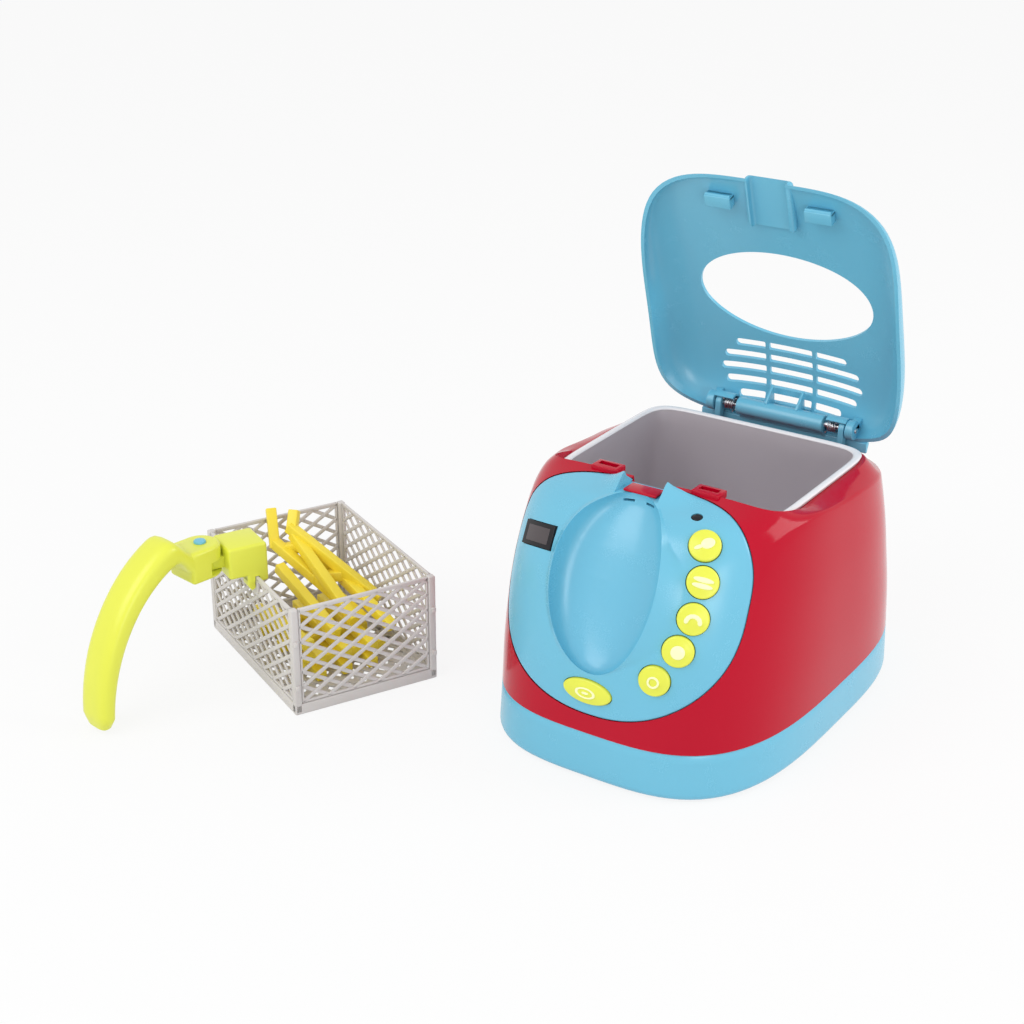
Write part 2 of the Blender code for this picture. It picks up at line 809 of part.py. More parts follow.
def make_display():
    point, turn = button_frame(display_place_shares)
    corners = [Vector((side_x * display_half_width, side_y * display_half_height, 0.0))
               for side_x, side_y in ((-1, -1), (1, -1), (1, 1), (-1, 1))]
    rings = [[turn @ (corner + Vector((0.0, 0.0, depth))) for corner in corners]
             for depth in (-display_depth - seat_gap, -seat_gap)]
    add_object("display_window", loft(rings), dark, place=point, smooth=False)
    point, turn = button_frame(lamp_place_shares)
    add_object("lamp_lens", add_turned(bmesh.new(), Vector(), turn,
                                       ((lamp_radius, -lamp_length), (lamp_radius, -lamp_radius * 0.3),
                                        (lamp_radius * 0.55, lamp_radius * 0.1)), 14), dark, place=point)


def button_solid(turn, radius_x, radius_y, sides):
    """A domed cap with two ears that stay behind the panel."""
    back = panel_thickness + button_ear_drop
    ear = button_ear / radius_x
    profile = ((0.97, ear, -back - button_ear_height), (0.97, ear, -back), (1.0, 0.0, -back),
               (1.0, 0.0, button_proud * 0.35), (0.93, 0.0, button_proud * 0.68),
               (0.7, 0.0, button_proud * 0.92), (0.3, 0.0, button_proud))
    rings = []
    for share, wider, height in profile:
        reach_x, reach_y = radius_x * (share + wider), radius_y * share
        rings.append([turn @ Vector((reach_x * math.cos(a), reach_y * math.sin(a), height))
                      for a in np.linspace(0.0, 2.0 * math.pi, sides, endpoint=False)])
    return loft(rings)


def make_buttons():
    for i, shares in enumerate(button_place_shares):
        point, turn = button_frame(shares)
        cap = button_solid(turn, button_radius, button_radius, 18)
        add_object("round_button_%d" % (i + 1), cap, lime, place=point)
    point, turn = button_frame(start_place_shares)
    add_object("oval_button", button_solid(turn, start_half_width, start_half_height, 24), lime, place=point)


# Lid

def lid_outline_reach(angle, inset=0.0):
    return rounded_reach(angle, lid_half_width - inset, lid_front_reach - inset, lid_back_reach - inset,
                         lid_power)


def lid_edge_height(x, y):
    if y > lid_centre_y:
        inner = 1.0 - smooth_step(abs(x), lid_tail_half_width, lid_tail_half_width + 4.0 * lid_wall)
        behind = smooth_step(y, lid_centre_y + lid_back_reach * 0.8, lid_centre_y + lid_back_reach * 0.95)
        tail = inner * behind
    else:
        tail = 0.0
    seats = [brow_height(y)]
    for share in (0.0, 0.5, 1.0):
        inside = Vector((x, y - lid_centre_y, 0.0))
        inside -= inside.normalized() * (lid_wall * share)
        above = inside + Vector((0.0, lid_centre_y, 2.0 * body_height))
        down = body_tree.ray_cast(above, Vector((0.0, 0.0, -1.0)))[0]
        if down is not None and down.z > seam_height * 2.0:
            seats.append(down.z)
    seat = max(max(seats) + lid_edge_gap, lid_ear_height)
    return seat + (lid_tail_height - seat) * tail


def lid_top(x, y, edge, share):
    fall = lid_crown_fall * max((abs(y - lid_centre_y) / lid_back_reach), 0.0) ** 2
    return edge + (lid_crown - fall - edge) * (1.0 - min(share, 1.0) ** lid_dome_power) ** 0.5


def lid_face(inset, drop, shares):
    """Rings of the lid's outer or inner face, from the oval hole to the edge."""
    rings = []
    angles = ring_angles()
    for share in shares:
        ring = []
        for angle in angles:
            c, s = math.cos(angle), math.sin(angle)
            outer = lid_outline_reach(angle, inset)
            hole = (abs(c / lid_hole_half_width) ** 2 + abs(s / lid_hole_half_depth) ** 2) ** -0.5
            reach = hole + (outer - hole) * share
            edge_x = lid_outline_reach(angle) * c
            edge_y = lid_centre_y + lid_outline_reach(angle) * s
            edge = lid_edge_height(edge_x, edge_y)
            x, y = reach * c, lid_centre_y + reach * s
            top = lid_top(x, y, edge, reach / outer)
            if drop:
                top = max(top - drop * (1.0 - (reach / outer) ** (2.0 * lid_dome_power)), edge)
            ring.append(Vector((x, y - hinge_y, top - hinge_z)))
        rings.append(ring)
    return rings


def make_lid():
    shares = (0.0, 0.4, 0.7, 0.87, 0.95, 0.985, 1.0)
    outer = lid_face(0.0, 0.0, shares)
    inner = lid_face(lid_wall, lid_wall, shares)
    bm = bmesh.new()
    loops = [[bm.verts.new(point) for point in ring] for ring in outer + list(reversed(inner))]
    for low, high in zip(loops, loops[1:] + loops[:1]):
        for i in range(len(low)):
            j = (i + 1) % len(low)
            bm.faces.new((low[i], low[j], high[j], high[i]))
    lid = add_object("lid", bm, blue)
    lid.location = (0.0, hinge_y, hinge_z)
    lid.rotation_euler = (-lid_open, 0.0, 0.0)
    roof = lid_crown - hinge_z
    joined = bmesh.new()
    add_rod(joined, (-barrel_half_length, 0.0, 0.0), (barrel_half_length, 0.0, 0.0), barrel_radius, 18)
    tail = lid_centre_y + lid_back_reach - hinge_y
    add_box(joined, (-barrel_half_length, 0.0, -lid_wall / 2.0),
            (barrel_half_length, tail - lid_wall / 2.0, lid_wall))
    combine(lid, "barrel", joined, "UNION")
    webs = bmesh.new()
    for side in (-1.0, 1.0):
        low, high = sorted((side * knuckle_inner, side * knuckle_outer))
        add_rod(webs, (low, 0.0, 0.0), (high, 0.0, 0.0), knuckle_radius, 18)
    combine(lid, "knuckles", webs, "UNION")
    arms = bmesh.new()
    for side in (-1.0, 1.0):
        low, high = sorted((side * knuckle_inner, side * knuckle_outer))
        add_box(arms, (low, -lid_wall, 0.0), (high, lid_wall, roof * 0.5))
        middle = side * gusset_place
        add_box(arms, (middle - gusset_thickness / 2.0, -barrel_radius * 1.3, 0.0),
                (middle + gusset_thickness / 2.0, barrel_radius, roof * 0.45))
    combine(lid, "arms", arms, "UNION")
    hooks = bmesh.new()
    for side in (-1.0, 1.0):
        low, high = side * hook_place - hook_half_width, side * hook_place + hook_half_width
        tip = hook_tip_height - hinge_z
        add_box(hooks, (low, hook_y - hinge_y - hook_thickness / 2.0, tip),
                (high, hook_y - hinge_y + hook_thickness / 2.0, roof - lid_crown_fall * 0.9 - lid_wall / 2.0))
    combine(lid, "hooks", hooks, "UNION")
    boss_top = lid_notch_height - hinge_z
    front = lid_centre_y - lid_front_reach - hinge_y
    boss = box((-boss_half_width, front + lid_wall / 2.0, boss_top - boss_drop * 0.5),
               (boss_half_width, front + boss_length, boss_top - boss_drop * 0.5 + boss_drop))
    combine(lid, "boss", boss, "UNION")
    notch = box((-boss_half_width, front - cut_overrun, rim_height - hinge_z),
                (boss_half_width, front + lid_wall * 1.6, boss_top - boss_drop * 0.5 - seat_gap))
    combine(lid, "notch", notch)
    vents = bmesh.new()
    for row in range(vent_rows):
        reach = vent_half_width * vent_width_shares[row]
        y = -vent_hinge_gap - vent_pitch * (vent_rows - 1 - row)
        spans = ((-reach, -vent_inner_half_width - vent_rib), (-vent_inner_half_width, vent_inner_half_width),
                 (vent_inner_half_width + vent_rib, reach))
        for low, high in spans:
            across = np.linspace(low, high, 3)
            middle = [(x, y + vent_sag * (x / vent_half_width) ** 2) for x in across]
            near = [(x, bend - vent_height / 2.0) for x, bend in middle]
            far = [(x, bend + vent_height / 2.0) for x, bend in reversed(middle)]
            add_outline(vents, near + far, roof * 0.52, 2.0 * roof)
    combine(lid, "vents", vents)
    bore = rod((-pin_half_length - cut_overrun, 0.0, 0.0), (pin_half_length + cut_overrun, 0.0, 0.0),
               pin_radius + bore_gap, 16)
    combine(lid, "bore", bore)
    return lid


def make_hinge():
    pin = rod((-pin_half_length, 0.0, 0.0), (pin_half_length, 0.0, 0.0), pin_radius, 16)
    add_object("hinge_pin", pin, steel, place=(0.0, hinge_y, hinge_z))
    steps = 9
    for name, side in (("hinge_spring_left", -1.0), ("hinge_spring_right", 1.0)):
        turns = int(spring_turns * steps)
        points = []
        for i in range(turns + 1):
            angle = 2.0 * math.pi * i / steps
            x = side * (spring_start + spring_wire + spring_pitch * i / steps)
            points.append(Vector((x, spring_radius * math.sin(angle), -spring_radius * math.cos(angle))))
        first = points[0] + Vector((0.0, -spring_leg, 0.0))
        heading = (points[-1] - points[-2])
        heading.x = 0.0
        last = points[-1] + heading.normalized() * spring_leg
        route = [first] + points + [last]
        least = min((a - b).length for i, a in enumerate(points) for b in points[i + steps - 1:])
        print(name, "least gap between turns, mm:", round((least - 2.0 * spring_wire) * 1000.0, 3))
        curve = bpy.data.curves.new(name, "CURVE")
        curve.dimensions = "3D"
        curve.bevel_depth = spring_wire
        curve.bevel_resolution = 1
        curve.use_fill_caps = True
        line = curve.splines.new("POLY")
        line.points.add(len(route) - 1)
        for target, point in zip(line.points, route):
            target.co = (*point, 1.0)
        spring = bpy.data.objects.new(name, curve)
        spring.location = (0.0, hinge_y, hinge_z)
        curve.materials.append(material(steel))
        bpy.context.scene.collection.objects.link(spring)


# Inside pieces

def make_battery_bay(base):
    count = cell_count
    half_x = cell_length / 2.0 + battery_wall
    half_y = count * (cell_radius + slide_gap) + battery_wall
    floor = cover_thickness + seat_gap
    opening = box((-half_x + battery_wall, battery_y - half_y + battery_wall, -cut_overrun),
                  (half_x - battery_wall, battery_y + half_y - battery_wall, base_floor + cut_overrun))
    combine(base, "battery_opening", opening)
    margin = cover_margin
    recess = box((-half_x - margin, battery_y - half_y - margin / 2.0, -cut_overrun),
                 (half_x + margin, battery_y + half_y + margin / 2.0, cover_thickness / 2.0 + seat_gap))
    combine(base, "cover_recess", recess)
    top = base_floor + 2.0 * cell_radius + 2.0 * slide_gap
    walls = box((-half_x, battery_y - half_y, base_floor + seat_gap),
                (half_x, battery_y + half_y, top + battery_wall))
    tray = add_object("battery_tray", walls, rubber, smooth=False)
    hollow = box((-half_x + battery_wall, battery_y - half_y + battery_wall, 0.0),
                 (half_x - battery_wall, battery_y + half_y - battery_wall, top))
    combine(tray, "hollow", hollow)
    for i in range(count):
        y = battery_y + (i - (count - 1) / 2.0) * 2.0 * (cell_radius + slide_gap / 2.0)
        z = base_floor + cell_radius + slide_gap
        end = cell_length / 2.0 - 2.0 * slide_gap
        turn = Matrix.Rotation(math.radians(90.0), 3, "Y")
        shoulder, cap_radius = end - slide_gap * 3.0, cell_radius * 0.4
        profile = ((cell_radius, -end), (cell_radius, shoulder), (cap_radius, shoulder),
                   (cap_radius, end - slide_gap))
        cell = add_turned(bmesh.new(), Vector((0.0, y, z)), turn, profile, 16)
        add_object("battery_cell_%d" % (i + 1), cell, cell_label)
    reach_x, reach_y = half_x + margin - seat_gap, half_y + margin / 2.0 - seat_gap
    cover = box((-reach_x, battery_y - reach_y, 0.0), (reach_x, battery_y + reach_y, cover_thickness / 2.0))
    cover_piece = add_object("battery_cover", cover, blue, smooth=False)
    reach_x, reach_y = half_x - battery_wall - seat_gap, half_y - battery_wall - seat_gap
    plug = box((-reach_x, battery_y - reach_y, cover_thickness / 4.0), (reach_x, battery_y + reach_y, floor))
    combine(cover_piece, "plug", plug, "UNION")


def make_speaker(base):
    z = base_floor + seat_gap
    profile = ((speaker_radius, z), (speaker_radius, z + speaker_height * 0.3),
               (speaker_radius * 0.55, z + speaker_height * 0.7), (speaker_radius * 0.55, z + speaker_height))
    bm = add_turned(bmesh.new(), Vector((0.0, speaker_y, 0.0)), Matrix.Identity(3), profile, 24)
    add_object("speaker", bm, rubber)
    holes = bmesh.new()
    for ring in range(speaker_hole_rings + 1):
        for i in range(max(6 * ring, 1)):
            angle = 2.0 * math.pi * i / max(6 * ring, 1)
            reach = ring * speaker_hole_pitch
            x, y = reach * math.cos(angle), speaker_y + reach * math.sin(angle)
            add_rod(holes, (x, y, -cut_overrun), (x, y, base_floor + cut_overrun), speaker_hole_radius, 6)
    combine(base, "speaker_holes", holes)


def make_board():
    x, t = panel_place(board_place_shares)
    out = panel_out()
    point, _ = body_surface(x, t)
    up = -panel_down()
    across = Vector((board_half_width, 0.0, 0.0))
    along = up * board_half_height
    rings = []
    for depth in (board_depth + board_thickness, board_depth):
        rings.append([point - out * depth + across * side_x + along * side_y
                      for side_x, side_y in ((-1, -1), (1, -1), (1, 1), (-1, 1))])
    add_object("circuit_board", loft(rings), board_green, smooth=False)


# Basket

def clip_polygon(points, low, high):
    """Trim a convex polygon to a rectangle."""
    for axis, limit, sign in ((0, low[0], 1.0), (0, high[0], -1.0), (1, low[1], 1.0), (1, high[1], -1.0)):
        kept = []
        for i, here in enumerate(points):
            there = points[(i + 1) % len(points)]
            a, b = sign * (here[axis] - limit), sign * (there[axis] - limit)
            if a >= 0.0:
                kept.append(here)
            if (a > 0.0) != (b > 0.0) and a != b:
                t = a / (a - b)
                kept.append((here[0] + (there[0] - here[0]) * t, here[1] + (there[1] - here[1]) * t))
        points = kept
        if len(points) < 3:
            return []
    clean = [p for i, p in enumerate(points) if math.dist(p, points[i - 1]) > lattice_bar / 50.0]
    return clean


def polygon_area(points):
    return abs(sum(a[0] * b[1] - b[0] * a[1] for a, b in zip(points, points[1:] + points[:1]))) / 2.0


def lattice_holes(low, high, pitch, rise, bar, solid=None):
    """Diamond openings of a lattice that fills a rectangle, trimmed at its edges."""
    columns = max(round((high[0] - low[0]) / (pitch / 2.0)), 1)
    rows = max(round((high[1] - low[1]) / (rise / 2.0)), 1)
    step_x, step_y = (high[0] - low[0]) / columns, (high[1] - low[1]) / rows
    slope = math.hypot(step_x, step_y)
    reach_x = step_x - bar * slope / (2.0 * step_y)
    reach_y = step_y - bar * slope / (2.0 * step_x)
    holes = []
    for i in range(columns + 1):
        for j in range(rows + 1):
            if (i + j) % 2 == 0:
                continue
            x, y = low[0] + i * step_x, low[1] + j * step_y
            diamond = [(x - reach_x, y), (x, y - reach_y), (x + reach_x, y), (x, y + reach_y)]
            trimmed = clip_polygon(diamond, low, high)
            if len(trimmed) < 3 or polygon_area(trimmed) < reach_x * reach_y / 3.0:
                continue
            if solid:
                (solid_left, solid_low), (solid_right, solid_high) = solid
                if solid_left - reach_x < x < solid_right + reach_x and solid_low - reach_y < y < solid_high:
                    continue
            holes.append(trimmed)
    return holes


def plate_with_holes(outline, holes, thickness):
    """Fill an outline with holes in the X-Y plane and thicken it upwards."""
    bm = bmesh.new()
    for loop in [outline] + holes:
        corners = [bm.verts.new((x, y, 0.0)) for x, y in loop]
        for i, corner in enumerate(corners):
            bm.edges.new((corner, corners[(i + 1) % len(corners)]))
    bmesh.ops.triangle_fill(bm, use_beauty=True, use_dissolve=False, edges=bm.edges[:])
    made = bmesh.ops.extrude_face_region(bm, geom=bm.faces[:])
    moved = [item for item in made["geom"] if isinstance(item, bmesh.types.BMVert)]
    bmesh.ops.translate(bm, vec=(0.0, 0.0, thickness), verts=moved)
    return bm


def stand_up(bm, origin, along, up):
    """Move an X-Y plate so that its X runs along one direction and its Y along another."""
    along, up = Vector(along), Vector(up)
    frame = Matrix((along, up, along.cross(up))).transposed().to_4x4()
    frame.translation = Vector(origin)
    bmesh.ops.transform(bm, matrix=frame, verts=bm.verts)
    return bm


def make_wall(name, basket, length, offset, turn, with_plate=False):
    half = length / 2.0
    low_edge = band_height + seat_gap
    inner_top = basket_height - rail_height
    plate = None
    if with_plate:
        plate = ((-plate_half_width, basket_height - plate_drop), (plate_half_width, basket_height))
    holes = lattice_holes((-half + lattice_bar, low_edge + lattice_bar), (half - lattice_bar, inner_top),
                          lattice_pitch, lattice_rise, lattice_bar, plate)
    outline = [(-half, low_edge), (half, low_edge), (half, basket_height)]
    if with_plate:
        tab, tab_top = wall_tab_half_width, basket_height + wall_tab_rise
        outline += [(tab, basket_height), (tab, tab_top), (-tab, tab_top), (-tab, basket_height)]
    outline += [(-half, basket_height)]
    bm = plate_with_holes(outline, holes, wall_thickness)
    frame = Matrix.Rotation(turn, 3, "Z")
    along = frame @ Vector((1.0, 0.0, 0.0))
    inward = frame @ Vector((0.0, 1.0, 0.0))
    stand_up(bm, -inward * (offset - band_thickness / 4.0) + inward * wall_thickness, along, (0.0, 0.0, 1.0))
    return add_object(name, bm, basket_grey, parent=basket, smooth=False)


def make_basket():
    basket = add_empty("basket_place", (basket_x, basket_y, -foot_standout), (0.0, 0.0, basket_turn))
    half_x, half_y = basket_length / 2.0, basket_width / 2.0
    band = box((-half_x, -half_y, 0.0), (half_x, half_y, band_height))
    frame = add_object("basket_frame", band, basket_grey, parent=basket, smooth=False)
    inside = box((-half_x + band_thickness, -half_y + band_thickness, basket_floor),
                 (half_x - band_thickness, half_y - band_thickness, band_height + cut_overrun))
    combine(frame, "inside", inside)
    posts = bmesh.new()
    lugs = bmesh.new()
    for side_x in (-1.0, 1.0):
        for side_y in (-1.0, 1.0):
            corner = (side_x * half_x, side_y * half_y)
            inner = (side_x * (half_x - post_width), side_y * (half_y - post_width))
            low = (min(corner[0], inner[0]), min(corner[1], inner[1]), basket_floor / 2.0)
            high = (max(corner[0], inner[0]), max(corner[1], inner[1]), basket_height)
            add_box(posts, low, high)
            for share in snap_lug_shares:
                z = basket_height * share
                x_low, x_high = sorted((side_x * (half_x - post_width / 2.0),
                                        side_x * (half_x + snap_lug_reach)))
                y_low, y_high = sorted((side_y * (half_y - snap_lug), side_y * (half_y - snap_lug * 0.2)))
                add_box(lugs, (x_low, y_low, z), (x_high, y_high, z + snap_lug))
    combine(frame, "posts", posts, "UNION")
    combine(frame, "lugs", lugs, "UNION")
    margin = band_thickness + floor_lattice_bar
    low, high = (-half_x + margin, -half_y + margin), (half_x - margin, half_y - margin)
    openings = bmesh.new()
    for hole in lattice_holes(low, high, floor_lattice_pitch, floor_lattice_rise, floor_lattice_bar):
        add_outline(openings, hole, -cut_overrun, basket_floor + cut_overrun)
    combine(frame, "floor_openings", openings)
    side = basket_width - 2.0 * post_width - 2.0 * seat_gap
    long_side = basket_length - 2.0 * post_width - 2.0 * seat_gap
    make_wall("basket_wall_handle", basket, long_side, half_y, 0.0, True)
    make_wall("basket_wall_far", basket, long_side, half_y, math.pi)
    make_wall("basket_wall_right", basket, side, half_x, math.pi / 2.0)
    make_wall("basket_wall_left", basket, side, half_x, -math.pi / 2.0)
    return basket


def make_handle(basket):
    wall_out = -basket_width / 2.0
    face = wall_out + band_thickness / 4.0
    slot_low, slot_high = face - slide_gap, face + wall_thickness + slide_gap
    block = box((-clip_half_width, slot_low - clip_outside, clip_bottom),
                (clip_half_width, slot_high + clip_inside, clip_top))
    clip = add_object("handle_clip", block, lime, parent=basket)
    roof = basket_height + wall_tab_rise
    slot = box((-clip_half_width - cut_overrun, slot_low, clip_bottom - cut_overrun),
               (clip_half_width + cut_overrun, slot_high, basket_height + seat_gap))
    combine(clip, "slot", slot)
    tab_room = box((-wall_tab_half_width - slide_gap, slot_low, basket_height),
                   (wall_tab_half_width + slide_gap, slot_high, roof + seat_gap))
    combine(clip, "tab_room", tab_room)
    claw = bmesh.new()
    outline = [(slot_low - clip_leg, clip_bottom + cut_overrun),
               (slot_low - clip_leg, clip_bottom - claw_drop * 0.4),
               (slot_low - clip_leg * 0.5, clip_bottom - claw_drop),
               (slot_low, clip_bottom - claw_drop * 0.7),
               (slot_low, clip_bottom + cut_overrun)]
    add_loft(claw, [[Vector((x, y, z)) for y, z in outline] for x in (clip_half_width - 2.0 * claw_half_width,
                                                                     clip_half_width - seat_gap)])
    combine(clip, "claw", claw, "UNION")
    pivot_y = wall_out - pivot_out
    tongue_outline = [(tongue_radius * math.cos(a), pivot_y - tongue_radius * math.sin(a))
                      for a in np.linspace(0.0, math.pi, 13)]
    tongue_outline += [(-neck_half_width, pivot_y + neck_half_width), (-neck_half_width, slot_low - clip_leg),
                       (neck_half_width, slot_low - clip_leg), (neck_half_width, pivot_y + neck_half_width)]
    combine(clip, "tongue", add_outline(bmesh.new(), tongue_outline, tongue_bottom, tongue_top), "UNION")
    combine(clip, "pivot_bore", rod((0.0, pivot_y, fork_bottom - cut_overrun), (0.0, pivot_y, pivot_top),
                                    pivot_radius + bore_gap, 16))
    pivot = add_empty("handle_pivot", (0.0, pivot_y, 0.0), (0.0, 0.0, arm_swing), basket)
    make_arm(pivot)
    cap_low = fork_top + seat_gap
    profile = ((pivot_radius, fork_bottom + seat_gap), (pivot_radius, cap_low), (pivot_cap_radius, cap_low),
               (pivot_cap_radius, cap_low + pivot_cap_height * 0.6),
               (pivot_cap_radius * 0.7, cap_low + pivot_cap_height))
    pin = add_turned(bmesh.new(), Vector(), Matrix.Identity(3), profile, 16)
    add_object("handle_pin", pin, blue, parent=pivot)


def arm_section(share):
    """Centre and size of the arm's rounded section, from the root (0) to the tip (1)."""
    angle = math.radians(90.0) * (arm_start_share + (1.0 - arm_start_share) * share)
    centre = Vector((0.0, -arm_root - arm_reach * math.sin(angle), arm_rise * math.cos(angle)))
    heading = Vector((0.0, -arm_reach * math.cos(angle), -arm_rise * math.sin(angle))).normalized()
    depth = arm_root_half_depth + (arm_tip_half_depth - arm_root_half_depth) * share
    return centre, heading, depth


def make_arm(pivot):
    rings = []
    for i in range(arm_stations):
        share = i / (arm_stations - 1)
        centre, heading, depth = arm_section(share)
        close = 1.0 if i < arm_stations - 1 else 0.72
        side = Vector((1.0, 0.0, 0.0))
        up = side.cross(heading)
        rise = Vector((0.0, 0.0, arm_tip_lift + arm_tip_half_depth * 0.5)) * share
        ring = []
        for k in range(16):
            angle = 2.0 * math.pi * (k + 0.5) / 16
            reach = rounded_reach(angle, arm_half_width * close, depth * close, depth * close, arm_power)
            ring.append(centre + rise + side * (reach * math.cos(angle)) + up * (reach * math.sin(angle)))
        rings.append(ring)
    arm = add_object("handle_arm", loft(rings), lime, parent=pivot)
    knuckle = bmesh.new()
    outline = [(arm_half_width * math.cos(a), arm_half_width * math.sin(a))
               for a in np.linspace(0.0, math.pi, 11)]
    outline += [(-arm_half_width, -arm_root - arm_half_width), (arm_half_width, -arm_root - arm_half_width)]
    add_outline(knuckle, outline, fork_bottom, fork_top)
    combine(arm, "knuckle", knuckle, "UNION")
    gap = slide_gap
    reach = tongue_radius + arm_half_width
    wide = tongue_radius + 2.0 * gap
    outline = [(wide * math.cos(a), -mouth_back - wide * math.sin(a)) for a in np.linspace(0.0, math.pi, 13)]
    outline += [(-reach, -mouth_back), (-reach, reach), (reach, reach), (reach, -mouth_back)]
    combine(arm, "tongue_room", add_outline(bmesh.new(), outline, tongue_bottom - gap, tongue_top + gap))
    combine(arm, "pin_bore", rod((0.0, 0.0, fork_bottom - cut_overrun), (0.0, 0.0, fork_top + cut_overrun),
                                 pivot_radius + bore_gap, 16))


def add_stick(bm, start, end):
    start, end = Vector(start), Vector(end)
    turn = (end - start).to_track_quat("Z", "Y")
    corners = [turn @ Vector((x * fry_half, y * fry_half, 0.0))
               for x, y in ((-1, -1), (1, -1), (1, 1), (-1, 1))]
    return add_loft(bm, [[start + corner for corner in corners], [end + corner for corner in corners]])


def make_fries(basket):
    """Two moulded clusters: crossed layers lying on the basket's floor, and a leaning bunch on top."""
    height = 2.0 * fry_half - fry_layer_sink
    lowest = basket_floor + seat_gap
    sticks = []
    for layer in range(fry_layer_count):
        z = lowest + fry_half + layer * height
        for k in (-1.0, 0.0, 1.0):
            if layer % 2 == 0:
                y = k * 1.6 * fry_layer_y
                sticks.append(((-fry_layer_long / 2.0, y, z), (fry_layer_long / 2.0, y, z)))
            else:
                x = k * 1.5 * fry_layer_x
                sticks.append(((x, -fry_layer_short / 2.0, z), (x, fry_layer_short / 2.0, z)))
    top = lowest + (fry_layer_count - 1) * height + 2.0 * fry_half
    low = add_object("fries_lying", add_stick(bmesh.new(), *sticks[0]), yellow, parent=basket, smooth=False)
    for i, stick in enumerate(sticks[1:]):
        combine(low, "stick_%d" % i, add_stick(bmesh.new(), *stick), "UNION")
    lean = [add_stick(bmesh.new(), *ends) for ends in upper_fries]
    least = min(vert.co.z for bm in lean for vert in bm.verts)
    for bm in lean:
        bmesh.ops.translate(bm, vec=(0.0, 0.0, top + seat_gap - least), verts=bm.verts)
    high = add_object("fries_leaning", lean[0], yellow, parent=basket, smooth=False)
    for i, bm in enumerate(lean[1:]):
        combine(high, "stick_%d" % i, bm, "UNION")


def main():
    for item in list(bpy.data.objects):
        bpy.data.objects.remove(item, do_unlink=True)
    make_upper_housing()
    base = make_base_shell()
    make_feet()
    make_housing_screws()
    make_tub()
    make_panel()
    make_display()
    make_buttons()
    make_lid()
    make_hinge()
    make_battery_bay(base)
    make_speaker(base)
    make_board()
    basket = make_basket()
    make_handle(basket)
    make_fries(basket)


body_tree = BVHTree.FromBMesh(outer_form(seam_height + seat_gap))

if __name__ == "__main__":
    main()
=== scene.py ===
import math

import bmesh
import bpy
import numpy as np
from mathutils import Matrix, Quaternion, Vector
from mathutils.bvhtree import BVHTree


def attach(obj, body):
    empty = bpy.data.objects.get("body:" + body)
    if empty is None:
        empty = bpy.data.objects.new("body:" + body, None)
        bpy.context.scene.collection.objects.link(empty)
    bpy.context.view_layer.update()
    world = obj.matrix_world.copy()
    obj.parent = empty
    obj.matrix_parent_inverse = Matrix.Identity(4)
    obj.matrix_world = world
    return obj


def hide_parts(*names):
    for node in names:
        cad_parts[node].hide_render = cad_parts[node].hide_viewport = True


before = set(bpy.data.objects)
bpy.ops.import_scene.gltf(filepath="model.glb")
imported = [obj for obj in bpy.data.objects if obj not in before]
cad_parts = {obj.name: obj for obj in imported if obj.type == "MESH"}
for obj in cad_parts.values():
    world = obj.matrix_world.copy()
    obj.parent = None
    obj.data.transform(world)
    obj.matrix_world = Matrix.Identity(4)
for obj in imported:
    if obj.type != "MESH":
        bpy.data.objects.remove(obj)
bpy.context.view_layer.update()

bl_info = {
    "name": "Toy Fryer",
    "version": (1, 0, 0),
    "blender": (4, 5, 0),
    "location": "View3D > Sidebar > Toy Fryer",
    "description": "Dresses the frame of a toy air fryer in moulded plastic and sets it on a white table",
    "category": "Object",
}

# Body form, as the frame has it: metres, +Z up, the panel faces -Y
body_half_width = 0.085
body_front_reach = 0.124
body_back_reach = 0.9113 * body_front_reach
body_height = 0.142
height_shares = (0.0, 0.18, 0.39, 0.54, 0.68, 0.81, 0.88, 0.93, 0.965, 1.0)
width_shares = (1.0, 1.0, 0.998, 0.988, 0.972, 0.947, 0.932, 0.918, 0.9, 0.86)
front_shares = (1.0, 0.988, 0.982, 0.9645, 0.923, 0.864, 0.819, 0.774, 0.742, 0.69)
back_shares = (1.0, 0.991, 0.97, 0.938, 0.9, 0.86, 0.832, 0.81, 0.8, 0.785)
brow_reach_shares = (-0.80, -0.56, -0.44, -0.32, -0.24, -0.16, -0.08, 0.0, 0.18, 0.33, 0.47, 0.62, 0.73, 0.84)
brow_height_shares = (0.972, 0.965, 0.96, 0.951, 0.944, 0.933, 0.923, 0.915, 0.905, 0.89, 0.87, 0.85, 0.838,
                      0.83)
seam_height = 0.026
rim_height = body_height - 0.007
seat_gap = 0.0003
slide_gap = 0.0004
overrun = 0.004
shelf_margin = 0.003
shelf_front_height = rim_height + 0.0092
shelf_side_height = rim_height - 0.0018
tub_half_width = body_half_width - 0.019
tub_half_depth = 0.4661 * body_front_reach
tub_floor_height = rim_height - 0.065
tub_seat_height = rim_height - 0.0016
tub_step = 0.0012
foot_standout = 0.001
housing_wall = 0.0024
brow_wall = 0.0028
ring_count = 144
catch_place = 0.0295
catch_half_width = 0.0078
lug_radius = 0.0042

